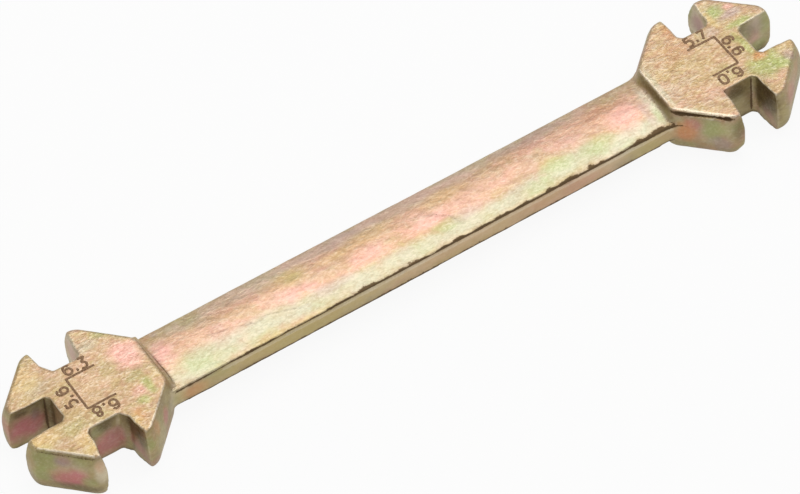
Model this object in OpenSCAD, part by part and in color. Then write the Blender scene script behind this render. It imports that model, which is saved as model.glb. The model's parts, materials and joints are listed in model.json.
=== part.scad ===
// Double-ended spoke wrench: one steel forging with a slotted head at each end.
// Lengths are in millimetres. +X runs along the wrench, +Y is its far side and +Z is up.
// The wrench lies on the flat faces of its heads, centred on the origin.

/* [Heads] */
// Distance between the centres of the two heads
head_pitch = 120.6; // [90:0.1:200]
// Width of a head across two opposite walls, at its flat face
head_w = 24.5; // [22:0.1:30]
// Thickness of a head from face to face
head_t = 9.3; // [7.5:0.1:14]
// How far a forged wall drafts outwards between the edge of a face and mid height
wall_swell = 0.8; // [0.2:0.05:0.9]
// Height of the upright land that trimming leaves at mid height of a wall
trim_land = 3; // [1.5:0.1:4]
// How far the corner between two walls is rounded back
corner_trim = 0.35; // [0.1:0.05:0.6]
// Width of the broken edge between a face and a wall
edge_break = 0.25; // [0.1:0.05:0.4]

/* [Spoke slots] */
// Nipple size of the far slot in the left head
left_far_size = 6.3; // [4:0.1:7.4]
// Nipple size of the end slot in the left head
left_end_size = 5.6; // [4:0.1:7.4]
// Nipple size of the near slot in the left head
left_near_size = 6.8; // [4:0.1:7.4]
// Nipple size of the far slot in the right head
right_far_size = 5.7; // [4:0.1:7.4]
// Nipple size of the end slot in the right head
right_end_size = 6.6; // [4:0.1:7.4]
// Nipple size of the near slot in the right head
right_near_size = 6; // [4:0.1:7.4]
// Play between a nipple and the two walls of its slot
slot_play = 0.1; // [0.05:0.01:0.3]
// Distance from the centre of a head to the floor of its far and near slots
side_floor = 6.55; // [6:0.05:8]
// Distance from the centre of the left head to the floor of its end slot
left_end_floor = 5.1; // [4.8:0.05:8]
// Distance from the centre of the right head to the floor of its end slot
right_end_floor = 6.2; // [4.8:0.05:8]
// Size of the flat cut across each inner corner of a slot
corner_flat = 0.7; // [0.3:0.05:1]
// Length of the flared lead-in at the mouth of a slot
lead_len = 3; // [1.5:0.1:3.5]
// How far a wall of the left head's far and near slots flares at the mouth
left_side_flare = 0.45; // [0.05:0.05:0.5]
// How far a wall of the right head's far and near slots flares at the mouth
right_side_flare = 0.15; // [0.05:0.05:0.5]
// How far a wall of an end slot flares at the mouth
end_flare = 0.1; // [0.05:0.01:0.3]

/* [Shank] */
// Width of the shank
shank_w = 12.2; // [9:0.1:14]
// Height of the flat trimmed band along each side of the shank
band_h = 3.9; // [2.5:0.1:4.5]
// Height of the crown above the band, the same on the top and the bottom
crown_h = 0.85; // [0.5:0.05:1.2]
// Radius of the fillet where a crown runs up to a head
foot_r = 0.9; // [0.4:0.05:1]
// Radius of the fillet between a side of the shank and a head, seen from above
neck_r = 2.6; // [1.5:0.1:4]

/* [Trimmed flash] */
// Thickness of the crown's edge above the flash groove in each side of the shank
flash_lip = 0.25; // [0.15:0.05:0.4]
// Height of the flash groove
flash_groove_h = 0.45; // [0.2:0.05:0.6]
// Depth of the flash groove
flash_groove_d = 0.45; // [0.2:0.05:0.6]

/* [Hidden] */

// Facets of each round shape
$fn = 96;
// How far a cut runs past the surface that it opens, and a joined shape into its neighbour
overrun = 0.5;

mid_z = head_t / 2;
face_r = head_w / 2;
swell_r = face_r + wall_swell;
// An octagon's corner is this much further from the centre than its wall
octagon_corner_share = 1 / cos(22.5);
corner_r = face_r * octagon_corner_share - corner_trim;

half_shank = shank_w / 2;
band_z = band_h / 2;
// Radius of the arc over the full width of the shank that rises by the crown's height
crown_r = (half_shank * half_shank + crown_h * crown_h) / (2 * crown_h);
// Height above mid height of the axis about which the upper crown turns
crown_axis_z = band_z + crown_h - crown_r;

left_slots = [
    [90, left_far_size, side_floor, left_side_flare],
    [180, left_end_size, left_end_floor, end_flare],
    [270, left_near_size, side_floor, left_side_flare]
];
right_slots = [
    [90, right_far_size, side_floor, right_side_flare],
    [0, right_end_size, right_end_floor, end_flare],
    [270, right_near_size, side_floor, right_side_flare]
];

// Outline of a head between two opposite walls: flat faces, broken edges, then walls that
// draft outwards from both faces to the upright land left by trimming at mid height.
module wall_pair_outline(wall_r) {
    crest_r = wall_r + wall_swell;
    land_low = mid_z - trim_land / 2;
    land_high = mid_z + trim_land / 2;
    polygon([
        [edge_break - wall_r, 0], [wall_r - edge_break, 0], [wall_r, edge_break],
        [crest_r, land_low], [crest_r, land_high], [wall_r, head_t - edge_break],
        [wall_r - edge_break, head_t], [edge_break - wall_r, head_t],
        [-wall_r, head_t - edge_break], [-crest_r, land_high],
        [-crest_r, land_low], [-wall_r, edge_break]
    ]);
}

// Slab with two opposite drafted walls, wide enough to hold the whole head.
module wall_pair() {
    reach = 2 * swell_r;
    rotate([90, 0, 0])
        linear_extrude(height = 2 * reach, center = true) wall_pair_outline(face_r);
}

// Round blank with the same drafted rim, which rounds the octagon's corners.
module corner_rim() {
    rotate_extrude() intersection() {
        wall_pair_outline(corner_r);
        square([2 * corner_r, head_t]);
    }
}

// Eight-sided forged head before its slots are cut, centred on the origin in plan.
module head_blank() {
    intersection() {
        corner_rim();
        wall_pair();
        rotate([0, 0, 45]) wall_pair();
        rotate([0, 0, 90]) wall_pair();
        rotate([0, 0, 135]) wall_pair();
    }
}

// Cutter for one slot that opens towards +X: flat floor, cut corners, flared mouth.
module slot_cut(size, floor_x, flare) {
    half = (size + slot_play) / 2;
    lead_x = face_r - lead_len;
    mouth_x = swell_r + overrun;
    mouth_half = half + flare * (mouth_x - lead_x) / lead_len;
    translate([0, 0, -overrun]) linear_extrude(height = head_t + 2 * overrun) polygon([
        [floor_x, corner_flat - half], [floor_x + corner_flat, -half],
        [lead_x, -half], [mouth_x, -mouth_half],
        [mouth_x, mouth_half], [lead_x, half],
        [floor_x + corner_flat, half], [floor_x, half - corner_flat]
    ]);
}

// Head with its three slots.
module slotted_head(slots) {
    difference() {
        head_blank();
        for (slot = slots) rotate([0, 0, slot[0]]) slot_cut(slot[1], slot[2], slot[3]);
    }
}

// Cross-section of the shank, centred on the origin: crowned above and below, flat at the sides.
module shank_section() {
    difference() {
        intersection() {
            square([shank_w, band_h + 2 * crown_h], center = true);
            translate([0, crown_axis_z]) circle(r = crown_r);
            translate([0, -crown_axis_z]) circle(r = crown_r);
        }
        for (side = [-1, 1]) flash_groove(side);
    }
}

// Groove that the trimmed flash leaves in one side, under the thin edge of the upper crown.
module flash_groove(side) {
    width = flash_groove_d + overrun;
    translate([side * (half_shank + overrun - width / 2), band_z - flash_lip - flash_groove_h / 2])
        square([width, flash_groove_h], center = true);
}

// Shank from inside one head to inside the other.
module shank() {
    length = head_pitch - 2 * (face_r - overrun);
    translate([0, 0, mid_z]) rotate([90, 0, 90])
        linear_extrude(height = length, center = true) shank_section();
}

// Concave fillet where the upper crown meets the wall of a head that faces +X.
module crown_foot() {
    inner_x = face_r - overrun;
    foot_x = swell_r + foot_r;
    translate([0, 0, mid_z + crown_axis_z]) intersection() {
        rotate([0, 90, 0]) rotate([0, 0, 90]) rotate_extrude() difference() {
            translate([crown_r - overrun, inner_x])
                square([foot_r + overrun, foot_x - inner_x]);
            translate([crown_r + foot_r, foot_x]) circle(r = foot_r);
        }
        translate([inner_x, -half_shank, -crown_axis_z])
            cube([foot_x - inner_x, shank_w, band_z + crown_h + foot_r]);
    }
}

// Gusset that fills the corner between one side of the shank and a head's slanting wall.
module side_gusset() {
    // The slanting wall stands at 45 degrees to the shank
    corner_x = swell_r / cos(45) - half_shank;
    centre_y = half_shank + neck_r;
    centre_x = (swell_r + neck_r) / cos(45) - centre_y;
    wall_x = centre_x - neck_r * cos(45);
    wall_y = centre_y - neck_r * sin(45);
    translate([0, 0, mid_z - band_z]) difference() {
        linear_extrude(height = band_h) polygon([
            [corner_x - wall_swell, half_shank - overrun], [centre_x, half_shank - overrun],
            [centre_x, half_shank], [wall_x, wall_y],
            [wall_x - wall_swell, wall_y - wall_swell]
        ]);
        translate([centre_x, centre_y, -overrun])
            cylinder(r = neck_r, h = band_h + 2 * overrun);
    }
}

// Fillets on all sides of the neck of a head whose shank leaves towards +X.
module neck_fillets() {
    crown_foot();
    translate([0, 0, head_t]) mirror([0, 0, 1]) crown_foot();
    side_gusset();
    mirror([0, 1, 0]) side_gusset();
}

// The whole forging: two heads on one shank.
module forged_wrench() {
    color([0.78, 0.68, 0.5]) union() {
        shank();
        translate([-head_pitch / 2, 0, 0]) {
            slotted_head(left_slots);
            neck_fillets();
        }
        translate([head_pitch / 2, 0, 0]) {
            slotted_head(right_slots);
            mirror([1, 0, 0]) neck_fillets();
        }
    }
}

forged_wrench();
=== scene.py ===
"""Looks of a double-ended spoke wrench: one steel forging, zinc plated, with etched sizes."""

import json
import logging
import math
from collections.abc import Iterator
from dataclasses import dataclass, field
from enum import Enum

import bmesh
import bpy
import numpy as np
from mathutils import Matrix, Vector, noise
from mathutils.bvhtree import BVHTree

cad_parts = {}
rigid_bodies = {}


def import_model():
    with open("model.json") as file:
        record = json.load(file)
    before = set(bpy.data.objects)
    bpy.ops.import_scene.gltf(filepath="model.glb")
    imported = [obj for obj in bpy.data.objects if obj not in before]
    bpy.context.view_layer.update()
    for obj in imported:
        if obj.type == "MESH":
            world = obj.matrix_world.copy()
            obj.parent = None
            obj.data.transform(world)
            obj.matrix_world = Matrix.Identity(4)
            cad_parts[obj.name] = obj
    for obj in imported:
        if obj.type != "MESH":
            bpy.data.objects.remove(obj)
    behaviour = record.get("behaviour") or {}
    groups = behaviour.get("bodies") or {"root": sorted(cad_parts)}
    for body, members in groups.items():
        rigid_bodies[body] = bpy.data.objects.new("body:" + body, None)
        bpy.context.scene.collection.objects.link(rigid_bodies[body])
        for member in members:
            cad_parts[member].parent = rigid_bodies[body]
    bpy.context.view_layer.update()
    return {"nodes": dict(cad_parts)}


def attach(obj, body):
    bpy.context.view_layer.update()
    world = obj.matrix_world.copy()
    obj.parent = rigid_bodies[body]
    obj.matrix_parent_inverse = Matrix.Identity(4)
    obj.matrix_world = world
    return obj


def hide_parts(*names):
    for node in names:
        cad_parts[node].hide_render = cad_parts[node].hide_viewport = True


LOG = logging.getLogger("spoke_wrench")
MM = 0.001
CAD_NODE = "forged_wrench"
CAD_BODY = "root"
WHITE = (1, 1, 1, 1)

# Sizes shared by several pieces, in millimetres
HEAD_PITCH = 120.6
HEAD_X = HEAD_PITCH / 2
HEAD_T = 9.3
MID_Z = HEAD_T / 2
FACE_R = 12.25
HEAD_SIDES = 8
OCTAGON_CORNER_SHARE = 1 / math.cos(math.radians(180 / HEAD_SIDES))
# Places nearer to each other than this count as one
SLACK = 0.01


class Tint(Enum):
    """Colours that the zinc film shows, each a channel of a colour attribute; OLIVE also carries
    painted shade and PALE painted highlights.
    """

    ROSE = ("film_warm_and_highlight", 0)
    GREEN = ("film_warm_and_highlight", 1)
    PALE = ("film_warm_and_highlight", 2)
    EMBER = ("film_cool_and_shade", 0)
    LILAC = ("film_cool_and_shade", 1)
    OLIVE = ("film_cool_and_shade", 2)
    GOLD = ("film_warm_and_highlight", 3)


# Small tools


def put_in_scene(name: str, data: bpy.types.ID) -> bpy.types.Object:
    """Makes a linked object.

    Args:
        name: Name of the object.
        data: Its mesh, camera or lamp.

    Returns:
        The new object.
    """
    made = bpy.data.objects.new(name, data)
    bpy.context.scene.collection.objects.link(made)
    return made


def object_from(bm: bmesh.types.BMesh, name: str) -> bpy.types.Object:
    """Moves a bmesh into a new linked object.

    Args:
        bm: The shape; it is freed.
        name: Name of the object and of its mesh.

    Returns:
        The new object.
    """
    bmesh.ops.recalc_face_normals(bm, faces=bm.faces)
    if bm.calc_volume(signed=True) < 0:
        bmesh.ops.reverse_faces(bm, faces=bm.faces)
    mesh = bpy.data.meshes.new(name)
    bm.to_mesh(mesh)
    bm.free()
    return put_in_scene(name, mesh)


def drop(piece: bpy.types.Object) -> None:
    """Removes a helper object and its mesh.

    Args:
        piece: The object that is used up.
    """
    mesh = piece.data
    bpy.data.objects.remove(piece)
    bpy.data.meshes.remove(mesh)


def apply_modifiers(piece: bpy.types.Object) -> None:
    """Replaces an object's mesh by what its modifiers make of it.

    Args:
        piece: The object, which has no modifiers afterwards.
    """
    graph = bpy.context.evaluated_depsgraph_get()
    made = bpy.data.meshes.new_from_object(piece.evaluated_get(graph))
    before = piece.data
    piece.modifiers.clear()
    piece.data = made
    bpy.data.meshes.remove(before)


def combine(target: bpy.types.Object, other: bpy.types.Object, operation: str) -> None:
    """Joins another solid to the target, or cuts it away, and removes the other.

    Args:
        target: The solid that stays.
        other: The solid that is used up.
        operation: UNION or DIFFERENCE.
    """
    step = target.modifiers.new(operation.lower(), "BOOLEAN")
    step.operation = operation
    step.solver = "EXACT"
    step.object = other
    apply_modifiers(target)
    drop(other)


def read_vectors(items: bpy.types.bpy_prop_collection, name: str) -> np.ndarray:
    """Reads one vector of each item.

    Args:
        items: Vertices or vertex normals of a mesh.
        name: Which vector of theirs to read.

    Returns:
        The vectors, one row each.
    """
    values = np.empty(len(items) * 3)
    items.foreach_get(name, values)
    return values.reshape(-1, 3)


def vertex_places(mesh: bpy.types.Mesh) -> np.ndarray:
    """Places of a mesh's vertices, one row each."""
    return read_vectors(mesh.vertices, "co")


def vertex_normals(mesh: bpy.types.Mesh) -> np.ndarray:
    """Normals of a mesh's vertices, one row each."""
    return read_vectors(mesh.vertex_normals, "vector")


def smooth_step(low: float, high: float, value: np.ndarray) -> np.ndarray:
    """Soft step from 0 at low to 1 at high, with low above high for a falling step."""
    share = np.clip((value - low) / (high - low), 0, 1)
    return share * share * (3 - 2 * share)


def noise_at(places: np.ndarray, size: tuple[float, float, float], shift: float) -> np.ndarray:
    """Smooth noise, about -1 to 1, at each place.

    Args:
        places: Points, one row each, in millimetres.
        size: Size of the noise's lumps along each axis.
        shift: Moves the pattern, so that layers differ.

    Returns:
        One value for each point.
    """
    scaled = places / np.array(size) + shift
    read = noise.noise
    return np.array([read(Vector(row)) for row in scaled])


def turn_z(angle: float) -> Matrix:
    """Turn about the upright axis by an angle in degrees."""
    return Matrix.Rotation(math.radians(angle), 3, "Z")


def prism(outline: list[tuple[float, float]], low: float, height: float) -> bmesh.types.BMesh:
    """Draws an outline upwards into a closed prism.

    Args:
        outline: Corners of the outline in plan, in order.
        low: Height of the prism's lower face.
        height: Height of the prism itself.

    Returns:
        The prism.
    """
    bm = bmesh.new()
    base = bm.faces.new([bm.verts.new((x, y, low)) for x, y in outline])
    grown = bmesh.ops.extrude_face_region(bm, geom=[base])
    top = [v for v in grown["geom"] if isinstance(v, bmesh.types.BMVert)]
    bmesh.ops.translate(bm, verts=top, vec=(0, 0, height))
    return bm


def edges_along(bm: bmesh.types.BMesh, axis: int) -> list[bmesh.types.BMEdge]:
    """Edges whose ends differ along one axis."""
    return [e for e in bm.edges if abs(e.verts[0].co[axis] - e.verts[1].co[axis]) > SLACK]


def divide_along(bm: bmesh.types.BMesh, axis: int, cuts: int) -> None:
    """Cuts the edges that run along one axis into equal steps."""
    bmesh.ops.subdivide_edges(bm, edges=edges_along(bm, axis), cuts=cuts, use_grid_fill=True)


# The forging


@dataclass(frozen=True)
class SpokeSlot:
    """One slot of a head, seen from its floor towards its mouth.

    A flare says how far a wall leans out at the faces and at mid height. A corner says how far its
    cut reaches across the floor and along the wall.
    """

    turn: float
    size: float
    floor: float
    flare_left: tuple[float, float] = (0.25, 0.1)
    flare_right: tuple[float, float] = (0.25, 0.1)
    corner_left: tuple[float, float] = (0.7, 0.7)
    corner_right: tuple[float, float] = (0.7, 0.7)
    lead: float = 9.2
    play: float = 0.1
    mouth: float = 14.4
    cuts: int = 9
    lead_in: float = 3.0
    overrun: float = 1.0

    def flare_at(self, flare: tuple[float, float], height: float) -> float:
        """How far a wall leans out at the cutter's far end, at one height.

        Args:
            flare: Flare at the faces and at mid height, each over the length of the lead-in.
            height: Height above the lower face.

        Returns:
            Distance from the straight wall.
        """
        to_face = min(abs(height - MID_Z) / MID_Z, 1.0) ** 2
        at_face, at_middle = flare
        lean = at_middle + (at_face - at_middle) * to_face
        return lean * (self.mouth - self.lead) / self.lead_in

    def cutter(self, centre_x: float) -> bpy.types.Object:
        """Prism that cuts the slot, with a mouth that flares most at the two faces.

        Args:
            centre_x: Where the head's centre is along the wrench.

        Returns:
            The prism as a closed solid.
        """
        half = (self.size + self.play) / 2
        right_cut, right_run = self.corner_right
        left_cut, left_run = self.corner_left
        bm = prism([
            (self.floor, right_cut - half),
            (self.floor + right_run, -half),
            (self.lead, -half),
            (self.mouth, -half),
            (self.mouth, half),
            (self.lead, half),
            (self.floor + left_run, half),
            (self.floor, half - left_cut),
        ], -self.overrun, HEAD_T + 2 * self.overrun)
        divide_along(bm, 2, self.cuts)
        for vert in bm.verts:
            if vert.co.x > self.mouth - SLACK:
                flare = self.flare_left if vert.co.y > 0 else self.flare_right
                vert.co.y += math.copysign(1, vert.co.y) * self.flare_at(flare, vert.co.z)
        bmesh.ops.rotate(bm, verts=bm.verts, matrix=turn_z(self.turn))
        bmesh.ops.translate(bm, verts=bm.verts, vec=(centre_x, 0, 0))
        return object_from(bm, "slot_cutter")


@dataclass(frozen=True)
class BrokenCorner:
    """Corner of a jaw that was knocked off along a slanting plane."""

    place: tuple[float, float, float]
    outward: tuple[float, float, float]
    block: float = 6.0

    def cutter(self) -> bpy.types.Object:
        """Block whose near side lies in the plane.

        Returns:
            The block as a closed solid.
        """
        bm = bmesh.new()
        bmesh.ops.create_cube(bm, size=self.block)
        bmesh.ops.translate(bm, verts=bm.verts, vec=(0, 0, self.block / 2))
        turn = Vector((0, 0, 1)).rotation_difference(Vector(self.outward)).to_matrix()
        bmesh.ops.rotate(bm, verts=bm.verts, matrix=turn)
        bmesh.ops.translate(bm, verts=bm.verts, vec=self.place)
        return object_from(bm, "corner_cutter")


@dataclass(frozen=True)
class ForgedHead:
    """Eight-sided head with three spoke slots.

    The steps are distances from a face and how far the wall stands out there: a share of the swell
    above 0, and millimetres below 0. The foot's steps count from the lower face.
    """

    centre_x: float
    slots: tuple[SpokeSlot, ...]
    corner_push: tuple[tuple[float, float], ...]
    broken: tuple[BrokenCorner, ...] = ()
    swell: float = 0.85
    corner_bevel: float = 0.95
    corner_segments: int = 5
    wall_steps: tuple[tuple[float, float], ...] = (
        (0.0, -0.34),
        (0.1, -0.12),
        (0.35, 0.06),
        (1.0, 0.3),
        (2.0, 0.66),
        (3.1, 0.92),
        (4.0, 1.0),
    )
    foot_steps: tuple[tuple[float, float], ...] = (
        (0.0, 0.06),
        (0.1, 0.3),
        (0.35, 0.54),
        (1.0, 0.74),
        (2.0, 0.9),
        (3.2, 1.0),
    )

    def levels(self) -> list[tuple[float, float]]:
        """Rings of the wall, from the lower face to the upper.

        Returns:
            Height and outward offset of each ring.
        """
        rings = list(self.foot_steps)
        rings += [(HEAD_T - rise, share) for rise, share in reversed(self.wall_steps)]
        return [(z, share * self.swell if share > 0 else share) for z, share in rings]

    def blank(self) -> bpy.types.Object:
        """Head before its slots are cut: an octagon drawn up ring by ring.

        Returns:
            The blank as a closed solid.
        """
        bm = bmesh.new()
        bmesh.ops.create_circle(bm, cap_ends=True, segments=HEAD_SIDES,
                                radius=FACE_R * OCTAGON_CORNER_SHARE)
        bmesh.ops.rotate(bm, verts=bm.verts, matrix=turn_z(180 / HEAD_SIDES))
        for vert in bm.verts:
            bearing = (math.degrees(math.atan2(vert.co.y, vert.co.x)) + 360) % 360
            dx, dy = self.corner_push[int(bearing // (360 / HEAD_SIDES))]
            vert.co.x += dx
            vert.co.y += dy
        levels = self.levels()
        flat = {v: v.co.xy.copy() for v in bm.verts}
        self.place_ring(flat, *levels[0])
        face = bm.faces[:][0]
        for step, (height, out) in enumerate(levels[1:]):
            before, cap = list(face.verts), face
            grown = bmesh.ops.extrude_face_region(bm, geom=[cap])
            face = next(f for f in grown["geom"] if isinstance(f, bmesh.types.BMFace))
            if step:
                bmesh.ops.delete(bm, geom=[cap], context="FACES_ONLY")
            ring = {}
            for vert in face.verts:
                source = min(before, key=lambda v: (v.co.xy - vert.co.xy).length)
                ring[vert] = flat[source]
            flat = ring
            self.place_ring(flat, height, out)
        bmesh.ops.bevel(bm, geom=edges_along(bm, 2), offset=self.corner_bevel, affect="EDGES",
                        segments=self.corner_segments, profile=0.5, material=-1)
        bmesh.ops.translate(bm, verts=bm.verts, vec=(self.centre_x, 0, 0))
        return object_from(bm, "head")

    def place_ring(self, flat: dict, height: float, out: float) -> None:
        """Puts one ring of corners at a height, moved outwards from the face's outline.

        Args:
            flat: Each corner with its place in the face's outline.
            height: Height of the ring.
            out: Distance from the face's outline, square to the walls.
        """
        for vert, place in flat.items():
            vert.co.xy = place + place.normalized() * out * OCTAGON_CORNER_SHARE
            vert.co.z = height

    def solid(self) -> bpy.types.Object:
        """Head with its slots and its broken corners cut.

        Returns:
            The head as a closed solid.
        """
        head = self.blank()
        for slot in self.slots:
            combine(head, slot.cutter(self.centre_x), "DIFFERENCE")
        for corner in self.broken:
            combine(head, corner.cutter(), "DIFFERENCE")
        return head


@dataclass(frozen=True)
class Shank:
    """Crowned bar between the heads."""

    length: float = 99.0
    width_left: float = 12.5
    width_right: float = 12.0
    band_h: float = 3.9
    crown_h: float = 0.85
    across_cuts: int = 15
    along_cuts: int = 20

    def half_width(self, x: float) -> float:
        """Half the shank's width at a place along it."""
        share = min(max(x / self.length + 0.5, 0), 1)
        return (self.width_left + (self.width_right - self.width_left) * share) / 2

    def solid(self) -> bpy.types.Object:
        """Bar with a crown above and below, from inside one head to inside the other.

        Returns:
            The bar as a closed solid.
        """
        bm = bmesh.new()
        bmesh.ops.create_cube(bm, size=1)
        bmesh.ops.scale(bm, verts=bm.verts, vec=(self.length, 2, self.band_h))
        divide_along(bm, 0, self.along_cuts)
        divide_along(bm, 1, self.across_cuts)
        for vert in bm.verts:
            share = vert.co.y
            rise = self.crown_h * (1 - share * share)
            vert.co.z += math.copysign(rise, vert.co.z)
            vert.co.y = share * self.half_width(vert.co.x)
        bmesh.ops.translate(bm, verts=bm.verts, vec=(0, 0, MID_Z))
        return object_from(bm, "shank")


@dataclass(frozen=True)
class NeckFillet:
    """Webs that fill the corners between the shank's sides and a head's slanting walls."""

    side: int
    radius: float = 2.6
    band_h: float = 3.9
    half_shank: float = 6.1
    wall_r: float = 13.05
    sunk: float = 1.0
    corner_sunk: float = 1.2
    segments: int = 72

    def gusset(self, hand: int) -> bpy.types.Object:
        """Web on one side of the shank.

        Args:
            hand: 1 for the far side and -1 for the near side.

        Returns:
            The web as a closed solid.
        """
        slant = math.cos(math.radians(45))
        corner_x = self.wall_r / slant - self.half_shank
        centre_y = self.half_shank + self.radius
        centre_x = (self.wall_r + self.radius) / slant - centre_y
        wall_x, wall_y = centre_x - self.radius * slant, centre_y - self.radius * slant
        web = object_from(prism([
            (corner_x - self.corner_sunk, self.half_shank - self.sunk),
            (centre_x, self.half_shank - self.sunk),
            (centre_x, self.half_shank),
            (wall_x, wall_y),
            (wall_x - self.sunk, wall_y - self.sunk),
        ], MID_Z - self.band_h / 2, self.band_h), "gusset")
        round_bm = bmesh.new()
        bmesh.ops.create_cone(round_bm, cap_ends=True, segments=self.segments,
                              radius1=self.radius, radius2=self.radius, depth=HEAD_T)
        bmesh.ops.translate(round_bm, verts=round_bm.verts, vec=(centre_x, centre_y, MID_Z))
        combine(web, object_from(round_bm, "gusset_cutter"), "DIFFERENCE")
        turned = bmesh.new()
        turned.from_mesh(web.data)
        drop(web)
        bmesh.ops.scale(turned, verts=turned.verts, vec=(-self.side, hand, 1))
        bmesh.ops.translate(turned, verts=turned.verts, vec=(self.side * HEAD_X, 0, 0))
        return object_from(turned, "gusset")


@dataclass(frozen=True)
class RaggedGroove:
    """Torn groove that trimmed flash leaves between two points of an edge.

    The nibble is how far the lips stray, finely and in broad waves. The lower lip and the floor
    stray only faintly.
    """

    start: tuple[float, float, float]
    end: tuple[float, float, float]
    inward: tuple[float, float, float]
    height: float
    depth: float
    seed: float
    step: float = 0.3
    nibble: float = 0.3
    taper: float = 2.0
    lip_slope: float = 0.0
    fine_size: float = 0.7
    broad_size: float = 5.0
    broad_share: float = 1.2
    faint_share: float = 0.35
    depth_share: float = 0.5
    outside: float = 1.2
    blunt_end: float = 0.1

    def cutter(self) -> bpy.types.Object:
        """Long bar with jittered edges that cuts the groove.

        Returns:
            The bar as a closed solid.
        """
        start, end = Vector(self.start), Vector(self.end)
        along = (end - start).normalized()
        inward = Vector(self.inward)
        inward = (inward - along * inward.dot(along)).normalized()
        up = along.cross(inward)
        if up.z < 0:
            up.negate()
        length = (end - start).length
        bm = bmesh.new()
        bmesh.ops.create_cube(bm, size=1)
        bmesh.ops.scale(bm, verts=bm.verts, vec=(length, 1, 1))
        divide_along(bm, 0, int(length / self.step))
        for vert in bm.verts:
            x, far, high = vert.co.x, vert.co.y > 0, vert.co.z > 0
            ends = min(1.0, self.blunt_end + (length / 2 - abs(x)) / self.taper)
            ends = ends * ends * (3 - 2 * ends)
            spot = x + self.seed
            fine = noise.noise(Vector((spot / self.fine_size, 3.1 * high, 7.7 * far)))
            broad = noise.noise(Vector((spot / self.broad_size, 5.3 * high, 1.9)))
            jitter = self.nibble * fine + self.broad_share * self.nibble * broad
            depth = self.depth * ends * (1 + self.depth_share * broad)
            depth += self.faint_share * self.nibble * fine * ends
            reach = depth if far else -self.outside
            rise = 0.5 * self.height * ends + (jitter if high else self.faint_share * jitter) * ends
            lean = 0.0 if far or high else self.lip_slope * (self.depth + self.outside) * ends
            offset = up * (rise if high else -rise - lean)
            vert.co = (start + end) / 2 + along * x + inward * reach + offset
        return object_from(bm, "groove_cutter")


@dataclass(frozen=True)
class EdgeStroke:
    """Stroke along an edge or a crevice: painted shade, with some real residue in the trimmed grooves,
    and where it gleams, a painted highlight.
    """

    path: tuple[tuple[float, float, float, float], ...]
    amount: float = 1.0
    fray: float = 0.5
    sink: float = 2.5
    gleam: bool = False
    rim_outside: float = 0.13
    rim_inside: float = 0.1

    def mask(self, places: np.ndarray, ragged: np.ndarray) -> np.ndarray:
        """Strength of the stroke at each place.

        Args:
            places: Points in millimetres, one row each.
            ragged: Noise that frays the stroke's rim.

        Returns:
            Values from 0 to the stroke's amount.
        """
        mask = np.zeros(len(places))
        flat = np.array((1 / self.sink, 1 / self.sink, 1.0))
        for first, last in zip(self.path, self.path[1:]):
            start, end = np.array(first[:3]), np.array(last[:3])
            run = end - start
            share = np.clip((places - start) @ run / (run @ run), 0, 1)
            away = np.linalg.norm((places - start - share[:, None] * run) * flat, axis=1)
            half = 0.5 * (first[3] + (last[3] - first[3]) * share) * (1 + self.fray * ragged)
            mask = np.maximum(mask, smooth_step(half + self.rim_outside, half - self.rim_inside, away))
        return self.amount * mask


@dataclass(frozen=True)
class NeckCollar:
    """Low ledge that the die leaves on the crown, right beside a head."""

    side: int
    far_width: float
    near_width: float
    far_top: float
    near_top: float
    half_length: float
    cuts: int = 13
    overlap: float = 0.6
    sink_power: float = 1.5
    tip_drop: float = 1.2
    tip_power: int = 12

    def solid(self) -> bpy.types.Object:
        """The ledge as a bar that sinks towards its near end.

        Returns:
            The bar as a closed solid.
        """
        bm = bmesh.new()
        bmesh.ops.create_cube(bm, size=1)
        divide_along(bm, 1, self.cuts)
        edge_x = HEAD_X - FACE_R
        for vert in bm.verts:
            near = 0.5 - vert.co.y
            sink = near ** self.sink_power
            width = self.far_width + (self.near_width - self.far_width) * near
            top = self.far_top + (self.near_top - self.far_top) * sink
            top -= self.tip_drop * near ** self.tip_power
            x = edge_x + self.overlap if vert.co.x > 0 else edge_x - width
            z = top if vert.co.z > 0 else MID_Z
            vert.co = (self.side * x, 2 * self.half_length * vert.co.y, z)
        return object_from(bm, "neck_collar")


@dataclass(frozen=True)
class StrayTints:
    """Patches that noise scatters, with the share of each tint; most lie out of the camera's sight."""

    shares: tuple[tuple[Tint, float], ...] = (
        (Tint.ROSE, 0.75),
        (Tint.GREEN, 0.7),
        (Tint.PALE, 0.5),
        (Tint.EMBER, 0.45),
        (Tint.LILAC, 0.6),
        (Tint.OLIVE, 0.35),
        (Tint.GOLD, 0.4),
    )
    camera_side: tuple[float, float, float] = (-0.295, -0.549, 0.782)
    size: tuple[float, float, float] = (5.2, 3.4, 3.0)
    first_shift: float = 90.0
    shift_step: float = 17.0
    fray: float = 0.35
    everywhere: float = 0.3
    more_unseen: float = 0.6

    def masks(self, places: np.ndarray, normals: np.ndarray,
              ragged: np.ndarray) -> Iterator[tuple[Tint, np.ndarray]]:
        """Scatters the patches of one tint after the other.

        Args:
            places: Points in millimetres, one row each.
            normals: The surface's normals there.
            ragged: Noise that frays the rims.

        Yields:
            Each tint and its strength at each place.
        """
        unseen = smooth_step(0.25, -0.15, normals @ np.array(self.camera_side))
        for number, (tint, share) in enumerate(self.shares):
            shift = self.first_shift + self.shift_step * number
            stray = noise_at(places, self.size, shift) + self.fray * ragged
            stray = smooth_step(0.12, 0.55, stray) * (self.everywhere + self.more_unseen * unseen)
            yield tint, stray * share


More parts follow.
